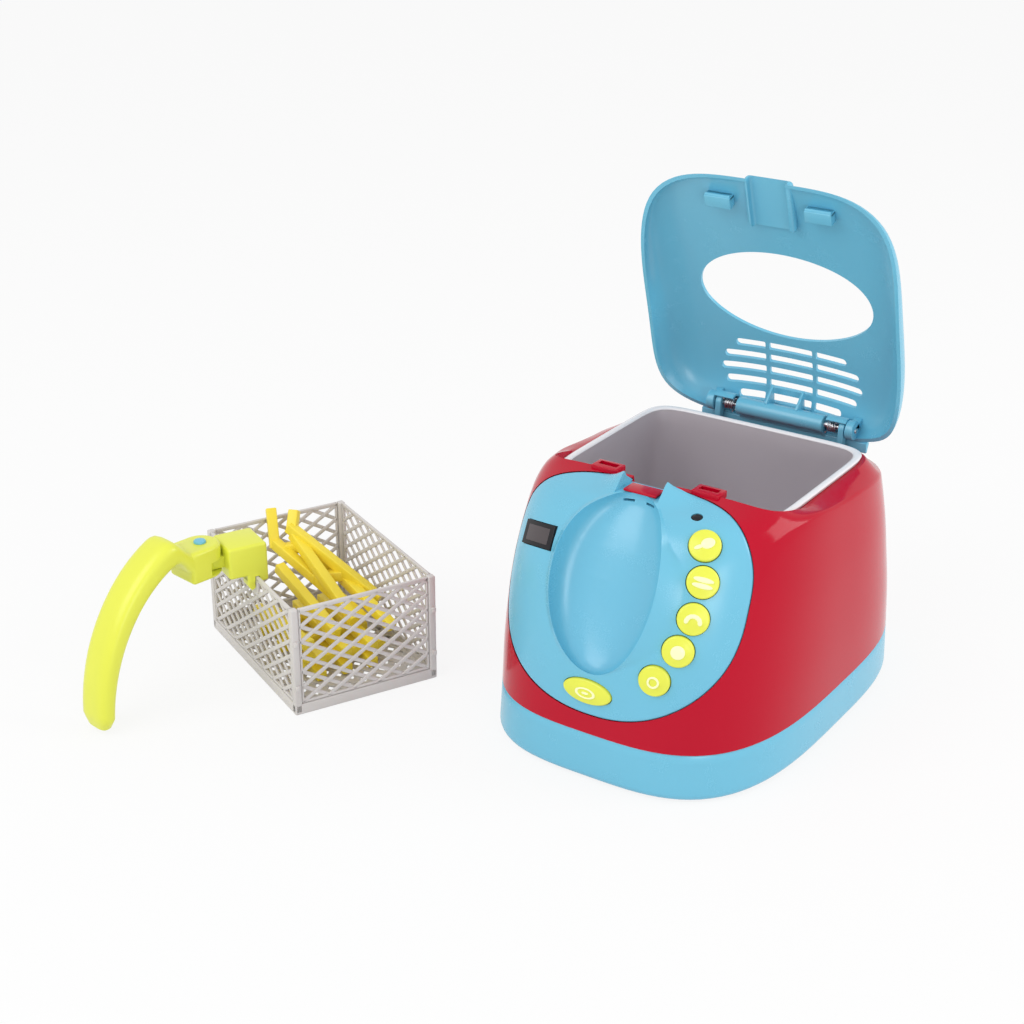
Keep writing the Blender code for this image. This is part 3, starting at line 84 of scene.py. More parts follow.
# Panel form
panel_tilt = math.radians(35.0)
panel_origin = Vector((0.0, -0.8065 * body_front_reach, 0.634 * body_height))
panel_down = Vector((0.0, -math.sin(panel_tilt), -math.cos(panel_tilt)))
panel_out = Vector((0.0, -math.cos(panel_tilt), math.sin(panel_tilt)))
panel_centre = -0.0915 * body_height
panel_half_width = 0.8 * body_half_width
panel_up_reach = (math.sin(panel_tilt) * (-tub_half_depth - shelf_margin - panel_origin.y)
                  + math.cos(panel_tilt) * (shelf_front_height - panel_origin.z) + panel_centre - 0.0019)
panel_down_reach = 0.4838 * body_height
panel_thickness = 0.0022
scoop_centre = -0.0704 * body_height
scoop_half_width = 0.3588 * body_half_width
scoop_half_height = 0.3275 * body_height
scoop_depth = 0.272 * (body_front_reach - tub_half_depth)
notch_half_width = 0.0125
notch_height = rim_height + 0.007
button_shares = ((0.665, -0.278), (0.7235, -0.155), (0.716, -0.0268), (0.657, 0.093), (0.519, 0.212))
start_shares = (-0.0088, 0.317)
display_shares = (-0.681, -0.1613)
lamp_shares = (0.507, -0.371)
oval_half_width = 0.014
oval_half_height = 0.0465 * body_height
display_half_width = 0.0125
display_half_height = 0.0444 * body_height
lamp_radius = 0.0029

# Lid and hinge
hinge = Vector((0.0, 0.7363 * body_back_reach, rim_height - 0.001))
lid_turn = Matrix.Translation(hinge) @ Matrix.Rotation(math.radians(-71.0), 4, "X")
lid_centre_y = 0.1327 * body_back_reach
lid_half_width = tub_half_width + 0.0108
lid_front_reach = lid_centre_y + tub_half_depth + 0.0057
lid_back_reach = hinge.y + 0.0093 - lid_centre_y
lid_crown = rim_height + 0.0205
lid_wall = 0.002
lid_power = 4.2
bulge_half_width = 0.0140
channel_half_width = 0.0115
barrel_half_width = 0.027
knuckle_span = (0.0412, 0.0458)
hood_span = (0.0292, 0.0411)
lug_span = (0.0368, 0.0402)
pin_half_width = 0.0465
flap_half_width = 0.052
vent_reach = 0.044
vent_half_width = 0.0023
vent_rib = 0.0134

# Basket and handle
basket_turn = (Matrix.Translation((-0.200, -0.091, -foot_standout))
               @ Matrix.Rotation(math.radians(-26.2), 4, "Z"))
basket_length = 0.1205
basket_width = 0.087
basket_height = 0.064
post_width = 0.0042
band_height = 0.0062
wall_inset = 0.0006
wall_thickness = 0.0018
wall_face = -basket_width / 2.0 + wall_inset
plate_half_width = 0.0125
arm_half_width = 0.011
pivot_y = -basket_width / 2.0 - 0.0262
handle_turn = (basket_turn @ Matrix.Translation((0.0, pivot_y, 0.0))
               @ Matrix.Rotation(math.radians(16.2), 4, "Z"))

# Stage. Each lamp has its name, place, what it points at, size, and the property that holds its power
lamps = (("key_lamp", (-0.45, -1.15, 1.15), (0.0, 0.0, 0.05), 1.1, "key"),
         ("side_lamp", (1.15, 0.55, 0.75), (0.0, 0.0, 0.08), 0.75, "side"),
         ("gloss_lamp", (0.94, -0.87, 0.35), (0.02, -0.10, 0.10), 0.45, "gloss"))
camera_place = (0.4314, -0.8332, 0.5232)
camera_aim = (-0.1434, 0.0222, 0.060)
sensor_width = 36.0
lens_share = 1887.7 / 1024.0  # focal length as a share of the picture's width
table_width = 14.0
floor_glow = 0.86
white = (1.0, 1.0, 1.0, 1.0)


# What a user would change

def colour(name, description, value):
    return bpy.props.FloatVectorProperty(name=name, description=description, default=value, subtype="COLOR",
                                         size=3, min=0.0, max=1.0)


def length(name, description, value):
    return bpy.props.FloatProperty(name=name, description=description, default=value, unit="LENGTH",
                                   precision=5, min=0.0)


class ToyFryerColours(bpy.types.PropertyGroup):
    red: colour("Red", "Plastic of the upper housing", (0.47, 0.0010, 0.019))
    blue: colour("Blue", "Plastic of the base, panel and lid", (0.14, 0.48, 0.66))
    tub: colour("Tub grey", "Plastic of the tub", (0.55, 0.51, 0.54))
    basket: colour("Basket grey", "Plastic of the basket", (0.64, 0.61, 0.59))
    lime: colour("Lime", "Plastic of the buttons and the handle", (0.75, 0.78, 0.07))
    fries: colour("Fries", "Plastic of the moulded fries", (0.95, 0.76, 0.05))
    window: colour("Window", "Dark plastic of the display and the lamp", (0.012, 0.012, 0.015))
    steel: colour("Steel", "Pin, springs and screws", (0.62, 0.62, 0.64))
    rubber: colour("Rubber", "Feet, tray and speaker", (0.03, 0.03, 0.03))
    board: colour("Board", "Laminate of the circuit board", (0.03, 0.22, 0.08))
    jacket: colour("Jacket", "Plain sleeve of the cells", (0.10, 0.10, 0.12))


class ToyFryerSizes(bpy.types.PropertyGroup):
    ridge_rise: length("Ridge rise", "How far the scoop's edge stands above the panel", 0.0024)
    edge_round: length("Edge round", "Radius along the edges of moulded pieces", 0.0006)
    button_radius: length("Button radius", "Radius of the round buttons", 0.057 * body_height)
    button_rise: length("Button rise", "How far a button's crown stands above the panel", 0.0030)
    mark_rise: length("Mark rise", "How far the marks stand above the buttons", 0.0009)
    lattice_pitch: length("Lattice pitch", "Width of a diamond in the basket's walls", 0.0141)
    lattice_rise: length("Lattice rise", "Height of a diamond in the basket's walls", 0.0094)
    lattice_bar: length("Lattice bar", "Width of a bar in the basket's walls", 0.0023)
    fry_half: length("Fry half thickness", "Half the thickness of a moulded fry", 0.003)
    spring_wire: length("Spring wire", "Radius of the hinge springs' wire", 0.0004)


class ToyFryerStage(bpy.types.PropertyGroup):
    lens: bpy.props.FloatProperty(name="Lens", description="Focal length of the camera in millimetres",
                                  default=sensor_width * lens_share, min=1.0)
    key: bpy.props.FloatProperty(name="Key", description="Power of the large lamp above", default=9.2, min=0.0)
    side: bpy.props.FloatProperty(name="Side", description="Power of the lamp on the right", default=7.0, min=0.0)
    gloss: bpy.props.FloatProperty(name="Gloss", description="Power of the small lamp that lights the glossy edges",
                                   default=2.2, min=0.0)
    sky: bpy.props.FloatProperty(name="Sky", description="Strength of the light from all round", default=0.75,
                                 min=0.0)


# Shader nodes

class Number:
    """A number in a material that varies over the surface, used in ordinary sums."""

    def __init__(self, tree, socket):
        self.tree = tree
        self.socket = socket

    def _sum(self, operation, first, second):
        made = self.tree.nodes.new("ShaderNodeMath")
        made.operation = operation
        for socket, item in zip(made.inputs, (first, second)):
            if isinstance(item, Number):
                self.tree.links.new(item.socket, socket)
            else:
                socket.default_value = item
        return Number(self.tree, made.outputs[0])

    def __add__(self, other):
        return self._sum("ADD", self, other)

    def __sub__(self, other):
        return self._sum("SUBTRACT", self, other)

    def __rsub__(self, other):
        return self._sum("SUBTRACT", other, self)

    def __mul__(self, other):
        return self._sum("MULTIPLY", self, other)

    def __pow__(self, other):
        return self._sum("POWER", self, other)

    __radd__ = __add__
    __rmul__ = __mul__


class Finish:
    """A material and the nodes that give it its colour, gloss and grain."""

    def __init__(self, name, **constants):
        self.material = bpy.data.materials.new(name)
        self.material.use_nodes = True
        self.tree = self.material.node_tree
        self.shader = self.tree.nodes["Principled BSDF"]
        for socket, value in constants.items():
            self.shader.inputs[socket.replace("_", " ")].default_value = value

    def node(self, kind, settings=None, values=None):
        made = self.tree.nodes.new(kind)
        for name, value in (settings or {}).items():
            setattr(made, name, value)
        for name, value in (values or {}).items():
            if isinstance(value, Number):
                self.tree.links.new(value.socket, made.inputs[name])
            elif isinstance(value, bpy.types.NodeSocket):
                self.tree.links.new(value, made.inputs[name])
            else:
                made.inputs[name].default_value = value
        return made

    def number(self, node, output=0):
        return Number(self.tree, node.outputs[output])

    def noise(self, scale, detail=2.0, roughness=0.5):
        place = self.node("ShaderNodeTexCoord").outputs["Object"]
        made = self.node("ShaderNodeTexNoise", {"noise_dimensions": "3D"},
                         {"Vector": place, "Scale": scale, "Detail": detail, "Roughness": roughness})
        return self.number(made)

    def tone(self, factor, first, second):
        made = self.node("ShaderNodeMix", {"data_type": "RGBA"})
        self.tree.links.new(factor.socket, made.inputs["Factor"])
        for socket, value in zip([item for item in made.inputs if item.type == "RGBA"], (first, second)):
            socket.default_value = (*value, 1.0)
        return [socket for socket in made.outputs if socket.type == "RGBA"][0]

    def link(self, name, value):
        socket = value.socket if isinstance(value, Number) else value
        self.tree.links.new(socket, self.shader.inputs[name])

    def bump(self, height, depth, strength=0.4):
        made = self.node("ShaderNodeBump", None, {"Height": height, "Distance": depth, "Strength": strength})
        self.link("Normal", made.outputs["Normal"])


def deeper(value, share):
    return tuple(part * share for part in value)


def moulded(name, value, roughness, drift, grain, level, sheen_scale=1500.0, metallic=0.0):
    """Injection-moulded plastic: slow drift of tone and gloss from the flow, and a faint grain."""
    finish = Finish(name, Specular_IOR_Level=level, Metallic=metallic)
    flow = finish.noise(22.0, 3.0)
    finish.link("Base Color", finish.tone(flow, deeper(value, 1.0 - drift), deeper(value, 1.0 + drift * 0.6)))
    fine = finish.noise(sheen_scale, 2.0)
    finish.link("Roughness", roughness + (finish.noise(60.0, 2.0) - 0.5) * 0.10 + (fine - 0.5) * 0.04)
    finish.bump(fine, grain)
    return finish.material


def metal(name, value):
    finish = Finish(name, Metallic=1.0)
    streaks = finish.noise(900.0, 4.0)
    finish.link("Base Color", finish.tone(streaks, deeper(value, 0.82), value))
    finish.link("Roughness", 0.22 + streaks * 0.16)
    finish.bump(streaks, 0.00001)
    return finish.material


def rubbery(name, value):
    finish = Finish(name, Specular_IOR_Level=0.3)
    grain = finish.noise(2400.0, 3.0)
    finish.link("Base Color", finish.tone(grain, deeper(value, 0.7), deeper(value, 1.5)))
    finish.link("Roughness", 0.72 + grain * 0.2)
    finish.bump(grain, 0.00006)
    return finish.material


def laminate(name, value):
    """Circuit board: woven glass under a green coat, with lighter tracks."""
    finish = Finish(name)
    place = finish.node("ShaderNodeTexCoord").outputs["Object"]
    tracks = finish.node("ShaderNodeTexWave", {"wave_type": "BANDS"},
                         {"Vector": place, "Scale": 160.0, "Distortion": 9.0, "Detail": 1.0})
    sharp = finish.number(tracks, "Fac") ** 4.0
    finish.link("Base Color", finish.tone(sharp, value, deeper(value, 1.8)))
    finish.link("Roughness", 0.45 - sharp * 0.15)
    finish.bump(sharp, 0.00004)
    return finish.material


finishes = {}


def seen_rays(tree):
    """1 where the camera sees the surface itself, in a mirror or through glass."""
    path = tree.nodes.new("ShaderNodeLightPath")
    seen = Number(tree, path.outputs["Is Camera Ray"]) + Number(tree, path.outputs["Is Glossy Ray"])
    return seen + Number(tree, path.outputs["Is Transmission Ray"])


# Each plastic's material, roughness, drift of tone, depth of grain and specular level
plastics = {
    "red": ("red_gloss", 0.12, 0.03, 0.00001, 0.20),
    "blue": ("blue_gloss", 0.26, 0.03, 0.00001, 0.62),
    "tub": ("tub_grey", 0.40, 0.03, 0.00003, 0.5),
    # lip: its pale grey is a painted highlight on the tub's rim
    "lip": ("pale_grey", 0.25, 0.02, 0.00001, 0.5),
    "basket": ("basket_grey", 0.42, 0.08, 0.00005, 0.5),
    "lime": ("lime_gloss", 0.30, 0.03, 0.00002, 0.5),
    "fries": ("fry_yellow", 0.42, 0.10, 0.00012, 0.5),
    "window": ("dark_window", 0.15, 0.10, 0.000005, 0.22),
    "screen": ("dim_screen", 0.2, 0.10, 0.000005, 0.3),
    # mark: its pale lime is a painted highlight on the buttons' raised signs
    "mark": ("pale_lime", 0.22, 0.02, 0.00001, 0.5),
    "jacket": ("cell_sleeve", 0.35, 0.10, 0.00002, 0.5),
}
# Fixed colours: the lip's and the marks' pale tones are painted highlights; the screen's dim tone is its own
fixed_colours = {"lip": (0.80, 0.78, 0.80), "screen": (0.075, 0.062, 0.066), "mark": (0.93, 0.93, 0.52)}
more_settings = {"tub": {"metallic": 0.45}, "fries": {"sheen_scale": 700.0}}


def make_finishes(colours):
    for key, (name, roughness, drift, grain, level) in plastics.items():
        value = fixed_colours[key] if key in fixed_colours else tuple(getattr(colours, key))
        finishes[key] = moulded(name, value, roughness, drift, grain, level, **more_settings.get(key, {}))
    finishes["steel"] = metal("bright_steel", tuple(colours.steel))
    finishes["rubber"] = rubbery("black_rubber", tuple(colours.rubber))
    finishes["board"] = laminate("board_laminate", tuple(colours.board))


# Making and finishing a piece

def add(name, data):
    made = bpy.data.objects.new(name, data)
    bpy.context.scene.collection.objects.link(made)
    return made


def take(piece):
    bpy.ops.object.select_all(action="DESELECT")
    piece.select_set(True)
    bpy.context.view_layer.objects.active = piece
    return piece


def settle(piece):
    """Put the piece's place into its mesh."""
    take(piece)
    bpy.ops.object.transform_apply(location=True, rotation=True, scale=True)
    return piece


def modify(piece, kind, **settings):
    take(piece)
    step = piece.modifiers.new(kind.title(), kind)
    for name, value in settings.items():
        setattr(step, name, value)
    bpy.ops.object.modifier_apply(modifier=step.name)
    return piece


def rounded(piece, width, segments=3, angle=30.0):
    return modify(piece, "BEVEL", width=width, segments=segments, limit_method="ANGLE",
                  angle_limit=math.radians(angle), harden_normals=False, use_clamp_overlap=True)


def carve(piece, cutter, operation="DIFFERENCE"):
    modify(piece, "BOOLEAN", operation=operation, object=cutter, solver="EXACT")
    bpy.data.objects.remove(cutter, do_unlink=True)
    return piece


def join(pieces, name):
    take(pieces[0])
    for piece in pieces[1:]:
        piece.select_set(True)
    bpy.ops.object.join()
    pieces[0].name = name
    return pieces[0]


def dress(piece, finish, body, stands_for=(), angle=32.0):
    piece.data.name = piece.name
    piece.data.materials.clear()
    piece.data.materials.append(finishes[finish])
    take(piece)
    bpy.ops.object.shade_smooth_by_angle(angle=math.radians(angle))
    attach(piece, body)
    if stands_for:
        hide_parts(*stands_for)
    return piece


def block(name, low, high, round_by=0.0, segments=3):
    low, high = Vector(low), Vector(high)
    bpy.ops.object.select_all(action="DESELECT")
    bpy.ops.mesh.primitive_cube_add(size=1.0, location=(low + high) / 2.0, scale=high - low)
    piece = settle(bpy.context.object)
    piece.name = name
    if round_by > 0.0:
        rounded(piece, round_by, segments)
    return piece


def centred(name, half_x, half_y, low, high, round_by=0.0):
    """Block about the Z axis between two heights."""
    return block(name, (-half_x, -half_y, low), (half_x, half_y, high), round_by)


def drum(name, start, end, radius, sides=48, round_by=0.0):
    """Round bar or disc between two points."""
    start, end = Vector(start), Vector(end)
    turn = (end - start).to_track_quat("Z", "Y").to_euler()
    bpy.ops.object.select_all(action="DESELECT")
    bpy.ops.mesh.primitive_cylinder_add(vertices=sides, radius=radius, depth=(end - start).length,
                                        location=(start + end) / 2.0, rotation=turn)
    piece = settle(bpy.context.object)
    piece.name = name
    if round_by > 0.0:
        rounded(piece, round_by, 4)
    return piece


def skin(name, rings, ends="capped"):
    """Piece whose faces run between closed rings of equal length: capped, or joined last to first."""
    count = len(rings[0])
    points = [tuple(point) for ring in rings for point in ring]
    faces = []
    last = len(rings) if ends == "joined" else len(rings) - 1
    for level in range(last):
        low, high = level * count, (level + 1) % len(rings) * count
        for i in range(count):
            j = (i + 1) % count
            faces.append((low + i, low + j, high + j, high + i))
    if ends == "capped":
        faces.append(tuple(reversed(range(count))))
        faces.append(tuple(range((len(rings) - 1) * count, len(rings) * count)))
    mesh = bpy.data.meshes.new(name)
    mesh.from_pydata(points, [], faces)
    bm = bmesh.new()
    bm.from_mesh(mesh)
    bmesh.ops.recalc_face_normals(bm, faces=bm.faces)
    if bm.calc_volume(signed=True) < 0.0:
        bmesh.ops.reverse_faces(bm, faces=bm.faces)
    bm.to_mesh(mesh)
    bm.free()
    return add(name, mesh)


def outline_slab(name, outline, low, high):
    """Plan outline drawn up from one height to another."""
    return skin(name, [[Vector((x, y, z)) for x, y in outline] for z in (low, high)])


def side_slab(name, outline, low, high):
    """Outline seen from the side, in Y and Z, drawn out from one X to another."""
    return skin(name, [[Vector((x, y, z)) for y, z in outline] for x in (low, high)])


def arc(centre, half_x, half_y, start, end, count):
    """Points of an ellipse's arc."""
    return [(centre[0] + half_x * math.cos(a), centre[1] + half_y * math.sin(a))
            for a in np.linspace(start, end, count)]


def on_side(side, first, second):
    """Two distances from the middle as a low and a high place on one side of it."""
    return sorted((side * first, side * second))


def turned(name, centre, turn, profile, sides=48, stretch=(1.0, 1.0)):
    rings = []
    for radius, height in profile:
        rings.append([centre + turn @ Vector((radius * stretch[0] * math.cos(a), radius * stretch[1] * math.sin(a),
                                              height)) for a in np.linspace(0.0, 2.0 * math.pi, sides, False)])
    return skin(name, rings)


def move(piece, matrix):
    piece.matrix_world = matrix @ piece.matrix_world
    return settle(piece)


# Curves of the body form

def smooth_curve(places, values, at):
    places, values = np.asarray(places, float), np.asarray(values, float)
    slopes = np.gradient(values, places)
    at = min(max(at, places[0]), places[-1])
    i = min(int(np.searchsorted(places, at, side="right")) - 1, len(places) - 2)
    span = places[i + 1] - places[i]
    t = (at - places[i]) / span
    return float(values[i] * (1.0 + 2.0 * t) * (1.0 - t) ** 2 + slopes[i] * span * t * (1.0 - t) ** 2
                 + values[i + 1] * t * t * (3.0 - 2.0 * t) + slopes[i + 1] * span * t * t * (t - 1.0))


def smooth_step(value, low, high):
    t = min(max((value - low) / (high - low), 0.0), 1.0)
    return t * t * (3.0 - 2.0 * t)


def ring_angles(count=ring_count):
    return [2.0 * math.pi * (i + 0.5) / count for i in range(count)]


def rounded_reach(angle, half_x, front, back, power):
    c, s = math.cos(angle), math.sin(angle)
    half_y = back if s > 0.0 else front
    return (abs(c / half_x) ** power + abs(s / half_y) ** power) ** (-1.0 / power)


def body_reach(angle, height):
    share = height / body_height
    return rounded_reach(angle, body_half_width * smooth_curve(height_shares, width_shares, share),
                         body_front_reach * smooth_curve(height_shares, front_shares, share),
                         body_back_reach * smooth_curve(height_shares, back_shares, share),
                         3.3 - 0.3 * min(2.0 * share, 1.0))


def frontness(angle):
    return smooth_step(-math.sin(angle), 0.25, 0.85)


def brow_height(y):
    reach = body_front_reach if y < 0.0 else body_back_reach
    return body_height * smooth_curve(brow_reach_shares, brow_height_shares, y / reach)


def brow_point(angle):
    low, high = seam_height, body_height
    for _ in range(24):
        middle = (low + high) / 2.0
        if middle < brow_height(body_reach(angle, middle) * math.sin(angle)):
            low = middle
        else:
            high = middle
    return body_reach(angle, low), low


def polar(angle, reach, height):
    return Vector((reach * math.cos(angle), reach * math.sin(angle), height))


def tub_reach(angle, inset=0.0):
    depth = tub_half_depth - inset
    return rounded_reach(angle, tub_half_width - inset, depth, depth, 9.0)


def body_rings(bottom, wall_steps, bend_steps):
    angles = ring_angles()
    turns = []
    for angle in angles:
        reach, height = brow_point(angle)
        bend = 0.0016 + 0.0074 * frontness(angle)
        shelf_height = shelf_side_height + (shelf_front_height - shelf_side_height) * frontness(angle)
        below = polar(angle, body_reach(angle, height - bend), height - bend)
        corner = polar(angle, reach, height)
        shelf = polar(angle, tub_reach(angle) + shelf_margin, shelf_height)
        turns.append((below, corner, corner + (shelf - corner).normalized() * bend, shelf))
    rings = []
    for step in range(wall_steps):
        heights = [bottom + (turn[0].z - bottom) * step / wall_steps for turn in turns]
        rings.append([polar(angle, body_reach(angle, height), height) for angle, height in zip(angles, heights)])
    for t in np.linspace(0.0, 1.0, bend_steps):
        rings.append([below * (1.0 - t) ** 2 + corner * 2.0 * t * (1.0 - t) + beyond * t * t
                      for below, corner, beyond, shelf in turns])
    for t in (0.5, 1.0):
        rings.append([beyond.lerp(shelf, t) for below, corner, beyond, shelf in turns])
    return rings


def outer_rings():
    rings = body_rings(seam_height + seat_gap, 22, 7)
    rings.append([polar(angle, tub_reach(angle) + seat_gap, tub_seat_height - seat_gap)
                  for angle in ring_angles()])
    return rings


surface = {}


def body_surface(x, t):
    if not surface:
        form = skin("form", outer_rings())
        bm = bmesh.new()
        bm.from_mesh(form.data)
        surface["tree"] = BVHTree.FromBMesh(bm)
        bm.free()
        bpy.data.objects.remove(form, do_unlink=True)
    start = Vector((x, panel_origin.y, panel_origin.z)) + panel_down * t + panel_out * body_front_reach
    return surface["tree"].ray_cast(start, -panel_out)[0]


def tree_height(x, y):
    body_surface(0.0, 0.0)
    hit = surface["tree"].ray_cast(Vector((x, y, 2.0 * body_height)), Vector((0.0, 0.0, -1.0)))[0]
    return hit.z if hit is not None else 0.0


# Panel form

def horn(place, width, start):
    """Nearness to the notch within a width, and the climb from a start up to the panel's top."""
    near = min(max(1.0 - (abs(place[0]) - notch_half_width) / width, 0.0), 1.0)
    return near, smooth_step(-place[1], start * body_height, panel_up_reach - panel_centre)


def horn_lift(place):
    near, climb = horn(place, 0.013, 0.317)
    return 0.0052 * near ** 1.5 * climb


def horn_rise(place, y):
    """How far the horns stand up beside the notch, short of where the lid comes down."""
    near, climb = horn(place, 0.016, 0.36)
    return 0.0050 * near ** 1.2 * climb * smooth_step(-y, 0.0635, 0.0665)


def panel_edge(angle, grow=0.0):
    power = 3.1 if math.sin(angle) > 0.0 else 2.25
    reach = rounded_reach(angle, panel_half_width + grow, panel_down_reach + grow, panel_up_reach + grow, power)
    return reach * math.cos(angle), panel_centre - reach * math.sin(angle)


def scoop_point(angle, share, grow=0.0):
    return ((scoop_half_width + grow) * share * math.cos(angle),
            scoop_centre - (scoop_half_height + grow) * share * math.sin(angle))


def scoop_fall(share):
    """Depth of the scoop at a share of the way out from its middle."""
    return scoop_depth * max(1.0 - share * share, 0.0) ** 0.45


def facet_share(angle):
    """Where the flat beside the scoop ends, as a share of the scoop's own reach."""
    degrees = math.degrees(angle)
    degrees = degrees - 360.0 if degrees > 180.0 else degrees
    return smooth_curve((-180.0, -90.0, -52.0, -38.0, -24.0, -8.0, 4.0, 15.0, 28.0, 40.0, 90.0, 180.0),
                        (1.10, 1.035, 1.05, 1.16, 1.28, 1.37, 1.385, 1.30, 1.09, 1.05, 1.035, 1.10), degrees)


def ridge_share(angle):
    """How much of the ridge stands at this side of the scoop: most beside the buttons."""
    across = math.cos(angle)
    return across * across * (1.5 if across > 0.0 else 0.9)


def between(a, b, t):
    return a[0] + (b[0] - a[0]) * t, a[1] + (b[1] - a[1]) * t


def panel_face(ridge):
    """Rings of the panel's show face, from the scoop's middle out to the edge."""
    angles = ring_angles()

    def at(place, fall):
        point = body_surface(*place)
        return point - panel_out * (fall - horn_lift(place)) + Vector((0.0, 0.0, horn_rise(place, point.y)))

    rings = []
    for turn in np.linspace(0.06, 1.0, 22):
        share = math.sin(turn * math.pi / 2.0)
        fall = scoop_fall(share)
        blend = share ** 24
        rings.append([at(scoop_point(angle, share), fall - ridge * ridge_share(angle) * blend)
                      for angle in angles])
    edge = [scoop_point(angle, 1.0) for angle in angles]
    shoulder = [scoop_point(angle, facet_share(angle)) for angle in angles]
    for t in (0.04, 0.1, 0.3, 0.5, 0.7, 0.9, 1.0):
        rings.append([at(between(a, b, t), -ridge * ridge_share(angle) * (1.0 - t) * 1.08)
                      for angle, a, b in zip(angles, edge, shoulder)])
    outline = [panel_edge(angle, -0.0007) for angle in angles]
    for t in (0.04, 0.2, 0.4, 0.6, 0.8, 0.94, 1.0):
        rings.append([at(between(a, b, t), 0.0) for a, b in zip(shoulder, outline)])
    for grow, fall in ((-0.0002, 0.0002), (0.0, 0.0007)):
        rings.append([at(panel_edge(angle, grow), fall) for angle in angles])
    return rings


def panel_rings(grow, depth, bowl_grow, room=0.0):
    """Plain rings behind the panel's surface, for its back and for the space it needs."""
    angles = ring_angles()
    top = panel_centre - panel_up_reach
    rings = []

    def at(place, fall):
        more = room * smooth_step(place[1], top, top + panel_up_reach / 2.0)
        return body_surface(*place) - panel_out * (depth + fall + more)

    for share in (0.12, 0.35, 0.6, 0.78, 0.9, 0.97, 1.0):
        rings.append([at(scoop_point(angle, share, bowl_grow), scoop_fall(share)) for angle in angles])
    shoulder = [scoop_point(angle, 1.0, bowl_grow + 0.0075 * math.cos(angle) ** 2 + 0.0016) for angle in angles]
    rings.append([at(place, 0.0) for place in shoulder])
    for share in (0.33, 0.66, 1.0):
        rings.append([at(between(start, panel_edge(angle, grow), share), 0.0)
                      for angle, start in zip(angles, shoulder)])
    return rings


def panel_space(name, grow, depth, bowl_grow, room=0.0):
    under = panel_rings(grow, depth, bowl_grow, room)
    over = [[point + panel_out * (scoop_depth * 2.0) for point in ring]
            for ring in panel_rings(grow, 0.0, bowl_grow)]
    return skin(name, over + list(reversed(under)))


def panel_place(shares):
    """Centre on the surface, and the turn that points +Z out of the panel and +Y up it."""
    x, t = shares[0] * panel_half_width, shares[1] * body_height
    span = 0.0285 * body_height
    across = body_surface(x + span, t) - body_surface(x - span, t)
    along = body_surface(x, t - span) - body_surface(x, t + span)
    out = across.cross(along).normalized()
    up = (along - out * along.dot(out)).normalized()
    return body_surface(x, t), Matrix((up.cross(out), up, out)).transposed().to_quaternion()


# Pieces

class FryerStep(bpy.types.Operator):
    """What the operators share: each makes its own pieces from the sizes in the sidebar"""
    bl_options = {"REGISTER", "UNDO"}

    def execute(self, context):
        self.make(context.scene.toy_fryer_sizes)
        return {"FINISHED"}


class TOYFRYER_OT_housing(FryerStep):
    """Make the red upper housing with its catches, tab and hinge lugs"""
    bl_idname = "toyfryer.housing"
    bl_label = "Upper Housing"

    def make(self, sizes):
        housing = skin("housing_shell", outer_rings())
        cavity = []
        for ring in body_rings(seam_height - overrun, 3, 4):
            inner = []
            for angle, point in zip(ring_angles(), ring):
                wall = housing_wall + brow_wall * frontness(angle)
                reach = max(point.xy.length - wall, tub_reach(angle) + housing_wall)
                inner.append(polar(angle, reach, point.z - wall))
            cavity.append(inner)
        roof = tub_seat_height - 0.0052
        cavity.append([polar(angle, tub_reach(angle) + tub_step, roof) for angle in ring_angles()])
        carve(housing, skin("cavity", cavity))
        hole = [[polar(angle, tub_reach(angle, tub_step - slide_gap), height) for angle in ring_angles()]
                for height in (tub_floor_height, rim_height + overrun)]
        carve(housing, skin("tub_hole", hole))
        seat = panel_thickness + 0.0009
        carve(housing, panel_space("recess", 0.0005, seat, seat))
        deep = panel_thickness + 0.0012
        carve(housing, panel_space("opening", -0.005, deep, deep, 0.0085))
        carve(housing, block("neck_room", (-notch_half_width, -tub_half_depth - 0.0094, rim_height + 0.0048),
                             (notch_half_width, overrun - tub_half_depth, rim_height + 0.02), 0.0008))
        dress(housing, "red", "housing", ("upper_housing",), 40.0)
        parts, lugs = [], []
        for side in (-1.0, 1.0):
            middle = side * catch_place
            catch = block("catch",
                          (middle - catch_half_width, -tub_half_depth - 0.0050, shelf_front_height - 0.003),
                          (middle + catch_half_width, 0.0046 - tub_half_depth, shelf_front_height + 0.0012),
                          sizes.edge_round)
            carve(catch, block("seat", (middle - 0.0055, -0.0014 - tub_half_depth, shelf_front_height - 0.0008),
                               (middle + 0.0055, 0.0026 - tub_half_depth, shelf_front_height + 0.004)))
            parts.append(catch)
            low, high = on_side(side, *lug_span)
            foot = brow_height(hinge.y) + 0.0015
            arch = arc((hinge.y, hinge.z), lug_radius, lug_radius, 0.0, math.pi, 25)
            arch += [(hinge.y - lug_radius, foot), (hinge.y - 0.002, foot)]
            lugs.append(rounded(side_slab("lug", arch, low, high), sizes.edge_round * 0.6))
        parts.append(block("tab", (-0.0095, -tub_half_depth - 0.0187, notch_height + seat_gap),
                           (0.0095, -tub_half_depth - 0.0092, notch_height + 0.0016), sizes.edge_round * 0.7))
        dress(join(parts, "housing_catches"), "red", "housing")
        dress(join(lugs, "hinge_lugs"), "blue", "housing")


